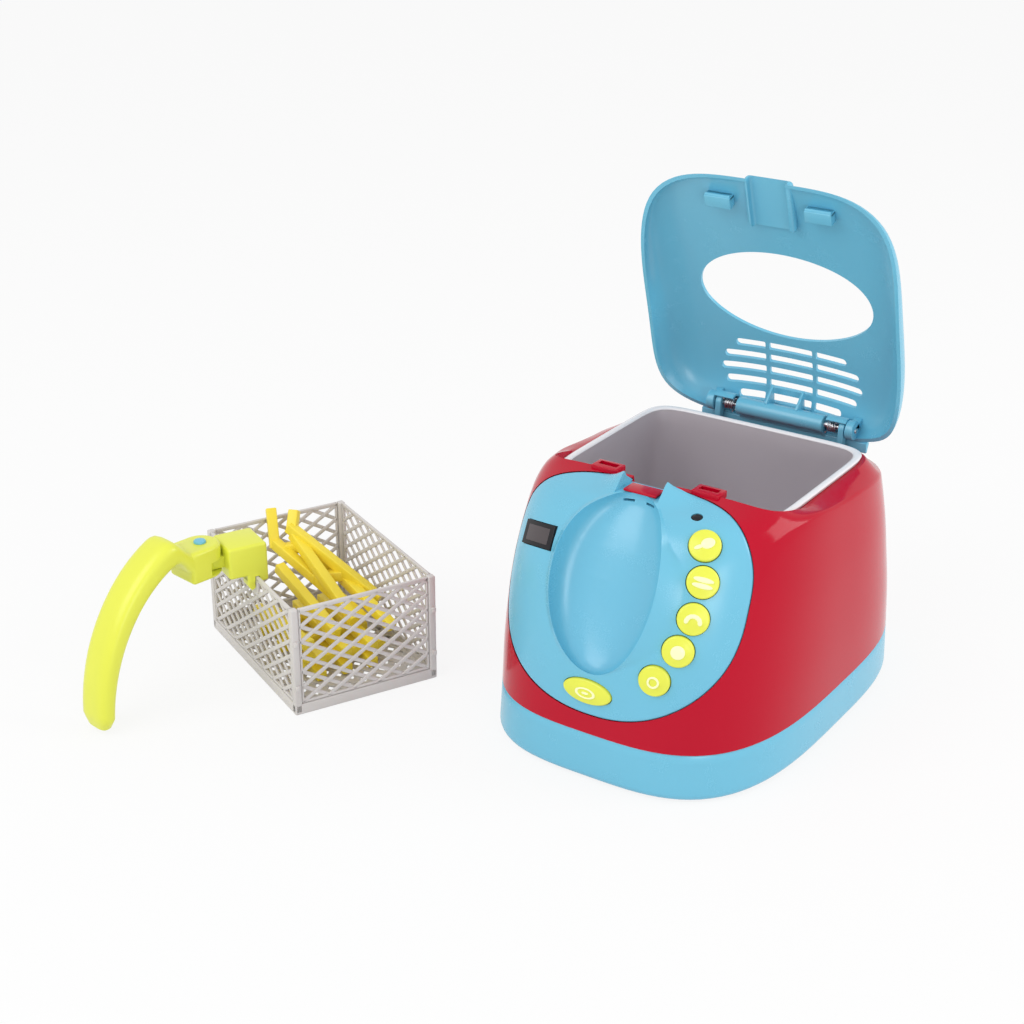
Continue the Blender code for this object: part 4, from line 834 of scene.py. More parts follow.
class TOYFRYER_OT_base(FryerStep):
    """Make the blue base shell with its feet, screws and speaker holes"""
    bl_idname = "toyfryer.base"
    bl_label = "Base"

    def make(self, sizes):
        angles, bend, floor, lowest = ring_angles(), 0.004, 0.0066, -overrun
        rings = []
        for turn in np.linspace(0.0, math.pi / 2.0, 7):
            inset, height = bend * (1.0 - math.sin(turn)), bend * (1.0 - math.cos(turn))
            rings.append([polar(angle, body_reach(angle, height) - inset, height) for angle in angles])
        for share in (0.35, 0.5, 0.65, 0.8, 0.97):
            rings.append([polar(angle, body_reach(angle, seam_height * share), seam_height * share)
                          for angle in angles])
        rings.append([polar(angle, body_reach(angle, seam_height) - 0.0005, seam_height) for angle in angles])
        base = skin("base_tray", rings)
        room = [[polar(angle, body_reach(angle, height) - housing_wall - inset, height) for angle in angles]
                for inset, height in ((bend, 0.0026), (0.0, floor), (0.0, seam_height + overrun))]
        carve(base, skin("room", room))
        feet = [(side * (body_half_width - 0.027), y) for y in (-0.075, 0.080) for side in (-1.0, 1.0)]
        posts = [(side * (body_half_width - 0.019), y) for y in (-0.058, 0.066) for side in (-1.0, 1.0)]
        head_low, head_high, head_radius, shank_radius, pad_radius = 0.0006, 0.0018, 0.0029, 0.0015, 0.006
        for x, y in feet:
            carve(base, drum("pocket", (x, y, lowest), (x, y, 0.0016), 0.0063))
        for x, y in posts:
            carve(base, drum("post", (x, y, 0.0013), (x, y, seam_height - seat_gap), 0.0036), "UNION")
            carve(base, drum("well", (x, y, lowest), (x, y, 0.003), 0.0033))
        half_x, half_y, bay_y, speaker_y = 0.0266, 0.0244, 0.046, -0.055
        carve(base, block("bay", (-half_x + 0.0016, bay_y - half_y + 0.0016, lowest),
                          (half_x - 0.0016, bay_y + half_y - 0.0016, floor)))
        carve(base, block("cover_seat", (-half_x - 0.004, bay_y - half_y - 0.002, lowest),
                          (half_x + 0.004, bay_y + half_y + 0.002, 0.0012)))
        for i in range(7):
            reach = 0.0085 if i else 0.0
            x, y = reach * math.cos(i * math.pi / 3.0), speaker_y + reach * math.sin(i * math.pi / 3.0)
            carve(base, drum("sound_hole", (x, y, lowest), (x, y, floor), 0.0018, 24))
        dress(base, "blue", "housing", ("base_shell",), 40.0)
        for i, (x, y) in enumerate(feet):
            pad = drum("rubber_pad_%d" % (i + 1), (x, y, -foot_standout), (x, y, 0.0013), pad_radius, 40, 0.0004)
            dress(pad, "rubber", "housing", ("foot_%d" % (i + 1),))
        for i, (x, y) in enumerate(posts):
            head = drum("screw_head_%d" % (i + 1), (x, y, head_low), (x, y, head_high), head_radius, 32, 0.0003)
            for spin in (0.0, math.pi / 2.0):
                slot = centred("slot", 0.0018, 0.0003, 0.0, 0.0011)
                carve(head, move(slot, Matrix.Translation((x, y, 0.0)) @ Matrix.Rotation(spin, 4, "Z")))
            shank = drum("shank", (x, y, head_high), (x, y, seam_height - 0.0006), shank_radius, 20)
            dress(join([head, shank], head.name), "steel", "housing", ("housing_screw_%d" % (i + 1),))


class TOYFRYER_OT_tub(FryerStep):
    """Make the grey tub with its rounded floor, and its rolled lip in a paler grey that is a painted highlight along
    the rim
    """
    bl_idname = "toyfryer.tub"
    bl_label = "Tub"

    def make(self, sizes):
        angles, quarter, small = ring_angles(192), math.pi / 2.0, 0.0006
        profile = [(0.0017, tub_floor_height), (tub_step, tub_seat_height), (0.0, tub_seat_height),
                   (0.0, rim_height - small)]
        profile += [(small * (1.0 - math.cos(a)), rim_height - small * (1.0 - math.sin(a)))
                    for a in np.linspace(0.2, quarter, 4)]
        profile += [(0.0022 + small * math.sin(a), rim_height - small * (1.0 - math.cos(a)))
                    for a in np.linspace(0.0, quarter, 5)]
        bend, low, inner = 0.005, tub_floor_height + 0.002, 0.0031
        profile += [(0.0029, rim_height - 0.010), (inner, low + bend)]
        profile += [(inner + bend * (1.0 - math.cos(a)), low + bend * (1.0 - math.sin(a)))
                    for a in np.linspace(0.2, quarter, 6)]
        rings = [[polar(angle, tub_reach(angle, inset), height) for angle in angles] for inset, height in profile]
        dress(skin("tub_bowl", rings), "tub", "housing", ("tub_liner",), 50.0)
        turns = np.linspace(0.0, 2.0 * math.pi, 17)[:-1]
        roll = [[polar(angle, tub_reach(angle, 0.0014 + 0.0019 * math.cos(a)), rim_height + 0.0011 * math.sin(a))
                 for angle in angles] for a in turns]
        # The lip is the tub's own plastic; its paler grey is a painted highlight where the rim catches light from
        # above
        dress(skin("tub_lip", roll, "joined"), "lip", "housing")


class TOYFRYER_OT_panel(FryerStep):
    """Make the blue button panel with its hand scoop, notch, display and lamp"""
    bl_idname = "toyfryer.panel"
    bl_label = "Panel"

    def make(self, sizes):
        face = panel_face(sizes.ridge_rise)
        panel = skin("button_panel", face + list(reversed(panel_rings(0.0, panel_thickness, panel_thickness))))
        carve(panel, block("notch", (-notch_half_width, -body_front_reach, notch_height),
                           (notch_half_width, 0.0, rim_height + body_height)))
        for middle in (-0.0062, 0.0062):
            carve(panel, block("slit", (middle - 0.0028, -body_front_reach, notch_height - 0.005),
                               (middle + 0.0028, -tub_half_depth, notch_height - 0.0037)))
        reach = overrun * 2.0
        holes = [(shares, sizes.button_radius, sizes.button_radius, 64) for shares in button_shares]
        holes += [(start_shares, oval_half_width, oval_half_height, 72)]
        holes += [(lamp_shares, lamp_radius - seat_gap, lamp_radius - seat_gap, 32)]
        for shares, half_x, half_y, sides in holes:
            point, turn = panel_place(shares)
            carve(panel, turned("hole", point, turn, ((1.0, reach), (1.0, -reach)), sides,
                                (half_x + slide_gap, half_y + slide_gap)))
        point, turn = panel_place(display_shares)
        at_display = Matrix.LocRotScale(point, turn, None)
        half_x, half_y = display_half_width + seat_gap, display_half_height + seat_gap
        carve(panel, move(centred("hole", half_x, half_y, -reach, reach), at_display))
        dress(panel, "blue", "housing", ("front_panel",), 38.0)
        half_x, half_y = display_half_width, display_half_height
        glass = centred("display_glass", half_x, half_y, -0.0019, -seat_gap, 0.0003)
        dress(move(glass, at_display), "window", "housing", ("display_window",))
        screen = centred("display_screen", half_x * 0.74, half_y * 0.66, -0.0006, 0.0, 0.0002)
        dress(move(screen, at_display), "screen", "housing")
        point, turn = panel_place(lamp_shares)
        profile = [(lamp_radius, -0.006), (lamp_radius, -0.0008)]
        profile += arc((0.0, -0.0008), lamp_radius, 0.0012, 0.2, 1.45, 6)
        dress(turned("lamp_dome", point, turn, profile, 32), "window", "housing", ("lamp_lens",), 60.0)


class TOYFRYER_OT_buttons(FryerStep):
    """Make the five round buttons and the oval one, with their raised marks in a pale tone that is a painted
    highlight
    """
    bl_idname = "toyfryer.buttons"
    bl_label = "Buttons"

    # For each button, the place, half sizes and turn of its mark's pebbles
    mark_pebbles = (
        (((0.0012, 0.0010), (0.0036, 0.0027), 0.7), ((-0.0024, -0.0024), (0.0024, 0.0011), 0.7)),
        (((0.0, 0.0013), (0.0052, 0.0014), 0.0), ((0.0, -0.0017), (0.0052, 0.0014), 0.0)),
        tuple(((0.0034 * math.cos(a), 0.0032 * math.sin(a) - 0.0014), (0.0017, 0.0012), a + math.pi / 2.0)
              for a in np.linspace(0.2, 2.94, 7)),
        (((0.0, 0.0), (0.0036, 0.0036), 0.0),),
        (),
        (((0.0, 0.0), (0.0022, 0.0007), 0.0),),
    )
    # Radius, wire, share of the rise and stretch of the marks that have a ring
    mark_rings = {4: (0.0026, 0.0006, 0.3, (1.0, 1.0)), 5: (0.0030, 0.0005, 0.1, (1.7, 0.85))}

    def make(self, sizes):
        places = [("round_button_%d" % (i + 1), shares, sizes.button_radius, sizes.button_radius)
                  for i, shares in enumerate(button_shares)]
        places.append(("oval_button", start_shares, oval_half_width, oval_half_height))
        foot, side, bend, narrow = -panel_thickness - 0.0020, 0.0006, 0.0010, 0.16
        shoulder = side + bend
        crown = sizes.button_rise - shoulder
        profile = [(0.955, foot), (1.0, foot + 0.0018), (1.0, side)]
        profile += [(1.0 - narrow * (1.0 - math.cos(a * math.pi / 2.0)), side + bend * math.sin(a * math.pi / 2.0))
                    for a in np.linspace(0.12, 1.0, 8)]
        profile += [(share, shoulder + crown * (1.0 - (share / (1.0 - narrow)) ** 2) * 0.75)
                    for share in (0.7, 0.5, 0.3, 0.12)]
        for index, (node, shares, half_x, half_y) in enumerate(places):
            point, turn = panel_place(shares)
            cap = turned(node.replace("button", "cap"), point, turn, profile, 64, (half_x, half_y))
            dress(cap, "lime", node, (node,), 60.0)
            mark = self.mark(index, sizes)
            mark.name = node.replace("button", "mark")
            crown_height = shoulder + crown * 0.75
            move(mark, Matrix.LocRotScale(point + turn @ Vector((0.0, 0.0, crown_height - 0.0001)), turn, None))
            # The marks' pale tone is a painted highlight on the raised signs
            dress(mark, "mark", node)

    def mark(self, index, sizes):
        """A plain raised sign: two pebbles, two bars, an arch, a dot, a ring, or an oval round a bar."""
        bpy.ops.object.select_all(action="DESELECT")
        parts = []
        if index in self.mark_rings:
            radius, wire, share, stretch = self.mark_rings[index]
            parts.append(self.ring(radius, wire, sizes.mark_rise * share, stretch))
        parts += [self.pebble(place, half, sizes.mark_rise, turn) for place, half, turn in self.mark_pebbles[index]]
        return join(parts, "mark") if len(parts) > 1 else parts[0]

    def ring(self, radius, wire, height, stretch):
        bpy.ops.mesh.primitive_torus_add(major_radius=radius, minor_radius=wire, major_segments=40,
                                         minor_segments=10, location=(0.0, 0.0, height))
        bpy.context.object.scale = (*stretch, 1.0)
        return settle(bpy.context.object)

    def pebble(self, place, half, rise, turn):
        bpy.ops.mesh.primitive_uv_sphere_add(segments=24, ring_count=12, radius=1.0,
                                             location=(place[0], place[1], 0.0), rotation=(0.0, 0.0, turn),
                                             scale=(half[0], half[1], rise))
        return settle(bpy.context.object)


def lid_reach(angle, inset=0.0):
    return rounded_reach(angle, lid_half_width - inset, lid_front_reach - inset, lid_back_reach - inset, lid_power)


def lid_edge(x, y):
    tail = 0.0
    if y > lid_centre_y:
        inner = 1.0 - smooth_step(abs(x), 0.050, 0.050 + 4.0 * lid_wall)
        tail = inner * smooth_step(y, lid_centre_y + lid_back_reach * 0.8, lid_centre_y + lid_back_reach * 0.95)
    seats = [brow_height(y)]
    for share in (0.0, 0.5, 1.0):
        inside = Vector((x, y - lid_centre_y, 0.0))
        inside -= inside.normalized() * (lid_wall * share)
        down = tree_height(inside.x, inside.y + lid_centre_y)
        if down > seam_height * 2.0:
            seats.append(down)
    seat = max(max(seats) + 0.0009, rim_height - 0.0138)
    return seat + (hinge.z - seat) * tail


def lid_edges():
    """Height of the lid's edge round its outline, eased into one smooth line that clears the housing."""
    needed = [lid_edge(lid_reach(a) * math.cos(a), lid_centre_y + lid_reach(a) * math.sin(a)) for a in ring_angles()]
    count = len(needed)
    reaches = [4 if math.sin(a) > 0.0 else 1 for a in ring_angles()]
    clear = [max(needed[(i + k) % count] for k in range(-reach, reach + 1)) for i, reach in enumerate(reaches)]
    weights = {k: math.exp(-0.5 * (k / 3.5) ** 2) for k in range(-9, 10)}
    whole = sum(weights.values())
    return [sum(weight * clear[(i + k) % count] for k, weight in weights.items()) / whole for i in range(count)]


def lid_face(inset, drop, shares, edges):
    rings = []
    for share in shares:
        ring = []
        for angle, edge in zip(ring_angles(), edges):
            outer = lid_reach(angle, inset)
            c, s = math.cos(angle), math.sin(angle)
            hole = (abs(c / 0.0525) ** 2 + abs(s / 0.028) ** 2) ** -0.5
            reach = hole + (outer - hole) * share
            x, y = reach * c, lid_centre_y + reach * s
            crown = lid_crown - 0.006 * (abs(y - lid_centre_y) / lid_back_reach) ** 2
            top = edge + (crown - edge) * (1.0 - min(reach / outer, 1.0) ** 7.0) ** 0.5
            if drop:
                top = max(top - drop * (1.0 - (reach / outer) ** 10.0), edge)
            ring.append(Vector((x, y, top)) - hinge)
        rings.append(ring)
    return rings


class TOYFRYER_OT_lid(FryerStep):
    """Make the blue lid with its oval window, vents, channel, hooks, barrel, hoods, flap and ribs"""
    bl_idname = "toyfryer.lid"
    bl_label = "Lid"

    # Side views from the pin's middle: what joins a hood to the lid, and the flap behind the barrel
    web = ((0.0015, 0.0048), (0.0015, 0.0094), (0.0045, 0.0076), (0.0062, 0.0054), (0.0062, 0.0034),
           (0.0034, 0.0042))
    flap = ((0.0074, 0.0024), (0.0093, 0.0030), (0.0134, -0.0008), (0.0130, -0.0022), (0.0076, -0.0004))

    def make(self, sizes):
        edges = lid_edges()
        shares = [math.sin(t * math.pi / 2.0) for t in np.linspace(0.0, 1.0, 22)]
        outer = lid_face(0.0, 0.0, shares, edges)
        inner = lid_face(lid_wall, lid_wall, shares, edges)
        lid = skin("lid_shell", outer + list(reversed(inner)), "joined")
        roof = lid_crown - hinge.z
        front = lid_centre_y - lid_front_reach - hinge.y
        bulge_top = roof - 0.0042
        carve(lid, block("bulge", (-bulge_half_width, front + 0.0004, bulge_top - 0.006),
                         (bulge_half_width, front + 0.031, bulge_top), 0.0026, 4), "UNION")
        carve(lid, block("channel", (-channel_half_width, front - overrun, rim_height - hinge.z),
                         (channel_half_width, front + 0.0325, bulge_top - 0.0018), 0.0016))
        for row, share in enumerate((0.78, 0.95, 1.0, 0.93, 0.73)):
            reach = vent_reach * share
            y = -0.0013 - 0.0078 * (4 - row)
            for low, high in ((-reach, -vent_rib - 0.0022), (-vent_rib, vent_rib), (vent_rib + 0.0022, reach)):
                carve(lid, outline_slab("vent", self.vent(y, low, high), roof * 0.25, 2.0 * roof))
        move(lid, lid_turn)
        dress(lid, "blue", "lid", ("lid",), 40.0)
        small = sizes.edge_round
        parts = [drum("barrel", (-barrel_half_width, 0.0, 0.0), (barrel_half_width, 0.0, 0.0), 0.005, 48, small),
                 block("tail", (-barrel_half_width, 0.0, -0.001), (barrel_half_width, 0.0083, 0.002), small * 0.8)]
        for side in (-1.0, 1.0):
            low, high = on_side(side, *knuckle_span)
            parts.append(drum("knuckle", (low, 0.0, 0.0), (high, 0.0, 0.0), 0.0055, 40, small * 0.7))
            parts.append(block("arm", (low, -lid_wall, 0.0), (high, lid_wall, roof * 0.44), small * 0.7))
            rib = [(-0.0110, roof * 0.52), (-0.0055, 0.0), (0.0045, 0.0), (0.0045, roof * 0.38)]
            middle = side * 0.0095
            parts.append(rounded(side_slab("rib", rib, middle - 0.0008, middle + 0.0008), small * 0.4))
            parts += self.hook(side * catch_place, roof, small)
            low, high = on_side(side, *hood_span)
            parts.append(side_slab("hood", self.hood(0.0062, 0.0050, 61.0, 203.0), low, high))
            parts.append(side_slab("hood_web", self.web, low, high))
        parts.append(rounded(side_slab("flap", self.flap, -flap_half_width, flap_half_width), 0.0004))
        fittings = join(parts, "lid_fittings")
        move(fittings, lid_turn)
        dress(fittings, "blue", "lid")

    def hook(self, middle, roof, small):
        """One hook over its catch: blade, nose and root."""
        low, high = middle - catch_half_width, middle + catch_half_width
        y = 0.0082 - tub_half_depth - hinge.y
        near, far = y - 0.0009, y + 0.0009
        tip, top = shelf_front_height - 0.0005 - hinge.z, roof - 0.0068
        wedge = [(near, tip), (y - 0.0019, tip + 0.0006), (near, tip + 0.0030)]
        return [block("hook", (low, near, tip), (high, far, top), small * 0.6),
                side_slab("nose", wedge, low + 0.0004, high - 0.0004),
                block("hook_root", (low, near, roof - 0.0125), (high, y + 0.0062, top), small)]

    def hood(self, outer, inner, start, end):
        """Side view of the curved cover over a spring and its lug."""
        rims = [arc((0.0, 0.0), radius, radius, math.radians(start), math.radians(end), 25)
                for radius in (outer, inner)]
        return rims[0] + rims[1][::-1]

    def vent(self, y, low, high):
        """Outline of one vent, which sags toward the lid's sides."""
        across = [(low + high) / 2.0 - (high - low) / 2.0 * math.cos(t) for t in np.linspace(0.0, math.pi, 19)]
        sides = [[(x, y + 0.0022 * (x / vent_reach) ** 2 + way * self.half_vent(x, low, high)) for x in across]
                 for way in (-1.0, 1.0)]
        return sides[0] + sides[1][::-1]

    def half_vent(self, x, low, high):
        """Half the width of a vent: round at its outer end, nearly square at a rib."""
        half = vent_half_width
        for end in (low, high):
            bend = half if abs(end) > 0.02 else half * 0.35
            short = max(bend - abs(x - end), 0.0)
            if short > 0.0:
                return max(half - bend + math.sqrt(max(bend * bend - short * short, 0.0)), 0.0001)
        return half


class TOYFRYER_OT_hinge(FryerStep):
    """Make the steel hinge pin and the two coiled springs"""
    bl_idname = "toyfryer.hinge"
    bl_label = "Hinge"

    def make(self, sizes):
        half = Vector((pin_half_width, 0.0, 0.0))
        pin = drum("steel_pin", hinge - half, hinge + half, 0.0015, 32, 0.0003)
        dress(pin, "steel", "housing", ("hinge_pin",))
        for name, side in (("hinge_spring_left", -1.0), ("hinge_spring_right", 1.0)):
            dress(self.coil(side, sizes.spring_wire), "steel", "housing", (name,)).name = name + "_coil"

    def coil(self, side, wire):
        steps, turns, radius, start, pitch = 28, 4.5, 0.0031, 0.0288, 0.00135
        tail = 0.0036
        points = []
        for i in range(int(steps * turns) + 1):
            angle = 2.0 * math.pi * i / steps
            points.append(Vector((side * (start + wire + pitch * i / steps), radius * math.sin(angle),
                                  -radius * math.cos(angle))))
        heading = points[-1] - points[-2]
        heading.x = 0.0
        points.insert(0, points[0] - Vector((0.0, tail, 0.0)))
        points.append(points[-1] + heading.normalized() * tail)
        path = bpy.data.curves.new("coil", "CURVE")
        path.dimensions = "3D"
        path.bevel_depth = wire
        path.bevel_resolution = 3
        path.use_fill_caps = True
        line = path.splines.new("POLY")
        line.points.add(len(points) - 1)
        for target, point in zip(line.points, points):
            target.co = (*(point + hinge), 1.0)
        take(add("coil", path))
        bpy.ops.object.convert(target="MESH")
        return bpy.context.object


def lattice(name, low, high, pitch, rise, bar, thickness, skip=None):
    """Crossing diagonal bars that fill a rectangle in the X-Z plane, between y = 0 and the thickness."""
    columns = max(round((high[0] - low[0]) / pitch), 1)
    rows = max(round((high[1] - low[1]) / rise), 1)
    step_x, step_z = (high[0] - low[0]) / columns, (high[1] - low[1]) / rows
    pattern = block("bar", (-0.5, 0.0, -bar / 2.0), (0.5, thickness * 0.62, bar / 2.0))
    rounded(pattern, bar * 0.22, 2)
    bm = bmesh.new()
    for lean in (1.0, -1.0):
        for k in range(-rows, columns + 1):
            xa, za = low[0] + k * step_x, low[1]
            xb, zb = xa + rows * step_x, za + rows * step_z
            ta = max((low[0] - xa) / (xb - xa), 0.0)
            tb = min((high[0] - xa) / (xb - xa), 1.0)
            if tb - ta < 0.02:
                continue
            a = (xa + (xb - xa) * ta, za + (zb - za) * ta)
            b = (xa + (xb - xa) * tb, za + (zb - za) * tb)
            if lean < 0.0:
                a, b = (low[0] + high[0] - a[0], a[1]), (low[0] + high[0] - b[0], b[1])
            for start, end in outside_of(a, b, skip) if skip else [(a, b)]:
                length_of = math.dist(start, end) + bar * 0.6
                angle = math.atan2(end[1] - start[1], end[0] - start[0])
                middle = ((start[0] + end[0]) / 2.0, (start[1] + end[1]) / 2.0)
                offset = 0.0 if lean > 0.0 else thickness * 0.38
                place = (Matrix.Translation((middle[0], offset, middle[1]))
                         @ Matrix.Rotation(-angle, 4, "Y") @ Matrix.Diagonal((length_of, 1.0, 1.0, 1.0)))
                first = len(bm.verts)
                bm.from_mesh(pattern.data)
                bm.verts.ensure_lookup_table()
                bmesh.ops.transform(bm, matrix=place, verts=bm.verts[first:])
    mesh = bpy.data.meshes.new(name)
    bm.to_mesh(mesh)
    bm.free()
    bpy.data.objects.remove(pattern, do_unlink=True)
    return add(name, mesh)


def outside_of(a, b, skip):
    """Parts of a straight bar that lie outside a rectangle."""
    (left, low), (right, high) = skip
    enter, leave = 0.0, 1.0
    for start, span, least, most in ((a[0], b[0] - a[0], left, right), (a[1], b[1] - a[1], low, high)):
        first, second = (least - start) / span, (most - start) / span
        enter, leave = max(enter, min(first, second)), min(leave, max(first, second))
    if enter >= leave:
        return [(a, b)]
    kept = []
    if enter > 0.01:
        kept.append((a, (a[0] + (b[0] - a[0]) * enter, a[1] + (b[1] - a[1]) * enter)))
    if leave < 0.99:
        kept.append(((a[0] + (b[0] - a[0]) * leave, a[1] + (b[1] - a[1]) * leave), b))
    return kept


class TOYFRYER_OT_basket(FryerStep):
    """Make the grey lattice basket: band, posts, snap lugs, rails and walls"""
    bl_idname = "toyfryer.basket"
    bl_label = "Basket"

    def make(self, sizes):
        half_x, half_y = basket_length / 2.0, basket_width / 2.0
        band = centred("basket_band", half_x, half_y, 0.0, band_height, 0.0008)
        carve(band, centred("inside", half_x - 0.0024, half_y - 0.0024, -overrun, band_height + overrun))
        ledge = centred("ledge", half_x - 0.0012, half_y - 0.0012, 0.0, 0.0018)
        carve(ledge, centred("inside", half_x - 0.0048, half_y - 0.0048, -overrun, overrun))
        parts = [band, ledge]
        for side_x in (-1.0, 1.0):
            for side_y in (-1.0, 1.0):
                x_low, x_high = on_side(side_x, half_x, half_x - post_width)
                y_low, y_high = on_side(side_y, half_y, half_y - post_width)
                parts.append(block("post", (x_low, y_low, 0.0009), (x_high, y_high, basket_height), 0.0007))
                for share in (0.24, 0.66):
                    z = basket_height * share
                    x_low, x_high = on_side(side_x, half_x - post_width / 2.0, half_x + 0.0016)
                    y_low, y_high = on_side(side_y, half_y - 0.003, half_y - 0.0006)
                    parts.append(block("snap", (x_low, y_low, z), (x_high, y_high, z + 0.003), 0.0005))
        floor = lattice("floor", (-half_x + 0.004, -half_y + 0.004), (half_x - 0.004, half_y - 0.004), 0.0125, 0.0105,
                        0.0042, 0.0018)
        parts.append(move(floor, Matrix.Translation((0.0, 0.0, 0.0018)) @ Matrix.Rotation(-math.pi / 2.0, 4, "X")))
        frame_piece = join(parts, "basket_band")
        move(frame_piece, basket_turn)
        dress(frame_piece, "basket", "basket", ("basket_frame",))
        long_side = basket_length - 2.0 * post_width - 0.0006
        short_side = basket_width - 2.0 * post_width - 0.0006
        for name, span, offset, turn in (("handle", long_side, half_y, 0.0), ("far", long_side, half_y, math.pi),
                                         ("right", short_side, half_x, math.pi / 2.0),
                                         ("left", short_side, half_x, -math.pi / 2.0)):
            wall = self.wall(span, name == "handle", sizes)
            wall.name = "basket_side_" + name
            place = (basket_turn @ Matrix.Rotation(turn, 4, "Z")
                     @ Matrix.Translation((0.0, -offset + wall_inset, 0.0)))
            move(wall, place)
            dress(wall, "basket", "basket", ("basket_wall_" + name,))

    def wall(self, span, with_plate, sizes):
        half, low, thick = span / 2.0, band_height + seat_gap, wall_thickness
        parts = [block("rail", (-half, 0.0, basket_height - 0.0024), (half, thick, basket_height), 0.0005),
                 block("foot", (-half, 0.0, low), (half, thick, low + 0.0016), 0.0004)]
        skip = None
        if with_plate:
            plate_low = basket_height - 0.012
            skip = ((-plate_half_width, plate_low), (plate_half_width, basket_height))
            parts.append(block("plate", (-plate_half_width, 0.0, plate_low),
                               (plate_half_width, thick, basket_height - 0.001), 0.0004))
            parts.append(block("tab", (-0.0105, 0.0, basket_height - 0.003), (0.0105, thick, basket_height + 0.006),
                               0.0005))
        for side in (-1.0, 1.0):
            x_low, x_high = on_side(side, half, half - 0.0012)
            parts.append(block("stile", (x_low, 0.0, low), (x_high, thick, basket_height), 0.0003))
        parts.append(lattice("mesh", (-half + 0.0008, low + 0.0008), (half - 0.0008, basket_height - 0.0018),
                             sizes.lattice_pitch, sizes.lattice_rise, sizes.lattice_bar, thick, skip))
        return join(parts, "wall")


class TOYFRYER_OT_handle(FryerStep):
    """Make the lime clip with its claw and tongue, the swivelling arm and its pin"""
    bl_idname = "toyfryer.handle"
    bl_label = "Handle"

    def make(self, sizes):
        slot_low, slot_high = wall_face - slide_gap, wall_face + wall_thickness + slide_gap
        top, bottom, front = 0.0835, 0.0605, slot_low - 0.0042
        half, cheek_half, slot_half, tab_half = 0.012, 0.0119, 0.020, 0.0109
        clip = block("clip_block", (-half, slot_low - 0.0148, bottom + 0.0045), (half, slot_high + 0.0055, top),
                     0.0018, 4)
        carve(clip, block("cheek", (-cheek_half, front, bottom), (cheek_half, slot_high + 0.0054, top - 0.004),
                          0.0012), "UNION")
        carve(clip, block("slot", (-slot_half, slot_low, bottom - overrun),
                          (slot_half, slot_high, basket_height + seat_gap)))
        carve(clip, block("tab_room", (-tab_half, slot_low, basket_height), (tab_half, slot_high, 0.0703)))
        claw = [(front, bottom + 0.004), (front, bottom - 0.0012),
                (slot_low - 0.0022, bottom - 0.0046), (slot_low, bottom - 0.0034), (slot_low, bottom + 0.004)]
        claw_piece = rounded(side_slab("claw", claw, 0.004, 0.0117), 0.0005)
        neck, radius = 0.0048, 0.0082
        tongue = arc((0.0, pivot_y), radius, -radius, 0.0, math.pi, 33)
        tongue += [(-neck, pivot_y + neck), (-neck, slot_low - 0.003), (neck, slot_low - 0.003),
                   (neck, pivot_y + neck)]
        tongue_piece = rounded(outline_slab("tongue", tongue, 0.0705, 0.0775), 0.0004)
        piece = join([clip, claw_piece, tongue_piece], "clip_block")
        move(piece, basket_turn)
        dress(piece, "lime", "basket", ("handle_clip",))
        self.arm(sizes)
        profile = [(0.002, 0.0682), (0.002, 0.0866), (0.0034, 0.0866), (0.0034, 0.0873), (0.0031, 0.0878),
                   (0.0024, 0.0880)]
        pin = turned("pivot_cap", Vector(), Quaternion(), profile, 40)
        dress(move(pin, handle_turn), "blue", "handle", ("handle_pin",))

    def arm(self, sizes):
        rings = []
        stations, sides, reach_out, drop = 44, 40, 0.066, 0.0835
        side = Vector((1.0, 0.0, 0.0))
        for i in range(stations):
            share = i / (stations - 1)
            angle = math.radians(90.0) * (0.02 + 0.98 * share)
            centre = Vector((0.0, -0.008 - reach_out * math.sin(angle), drop * math.cos(angle)))
            heading = Vector((0.0, -reach_out * math.cos(angle), -drop * math.sin(angle))).normalized()
            depth = 0.0082 - 0.0034 * share
            close = 1.0 - 0.30 * smooth_step(share, 0.955, 1.0)
            up = side.cross(heading)
            hump = 0.0105 * (1.0 - share) ** 1.5 * smooth_step(share, -0.02, 0.16)
            dip = 0.0052 * (1.0 - smooth_step(share, 0.0, 0.13))
            rise = Vector((0.0, 0.0, 0.0032 * share + hump - dip))
            ring = []
            for turn in ring_angles(sides):
                reach = rounded_reach(turn, arm_half_width * close, depth * close, depth * close, 3.2)
                ring.append(centre + rise + side * (reach * math.cos(turn)) + up * (reach * math.sin(turn)))
            rings.append(ring)
        arm = skin("swivel_arm", rings)
        outline = arc((0.0, 0.0), arm_half_width, arm_half_width, 0.0, math.pi, 33)
        outline += [(-arm_half_width, -0.0135), (arm_half_width, -0.0135)]
        carve(arm, rounded(outline_slab("knuckle", outline, 0.0680, 0.0865), 0.0022, 4, 60.0), "UNION")
        wide, reach, start = 0.0090, 0.0192, -0.0012
        mouth = arc((0.0, start), wide, -wide, 0.0, math.pi, 33)
        mouth += [(-reach, start), (-reach, reach), (reach, reach), (reach, start)]
        carve(arm, outline_slab("mouth", mouth, 0.0701, 0.0779))
        carve(arm, drum("bore", (0.0, 0.0, 0.0585), (0.0, 0.0, 0.0905), 0.0022, 32))
        dress(move(arm, handle_turn), "lime", "handle", ("handle_arm",), 40.0)


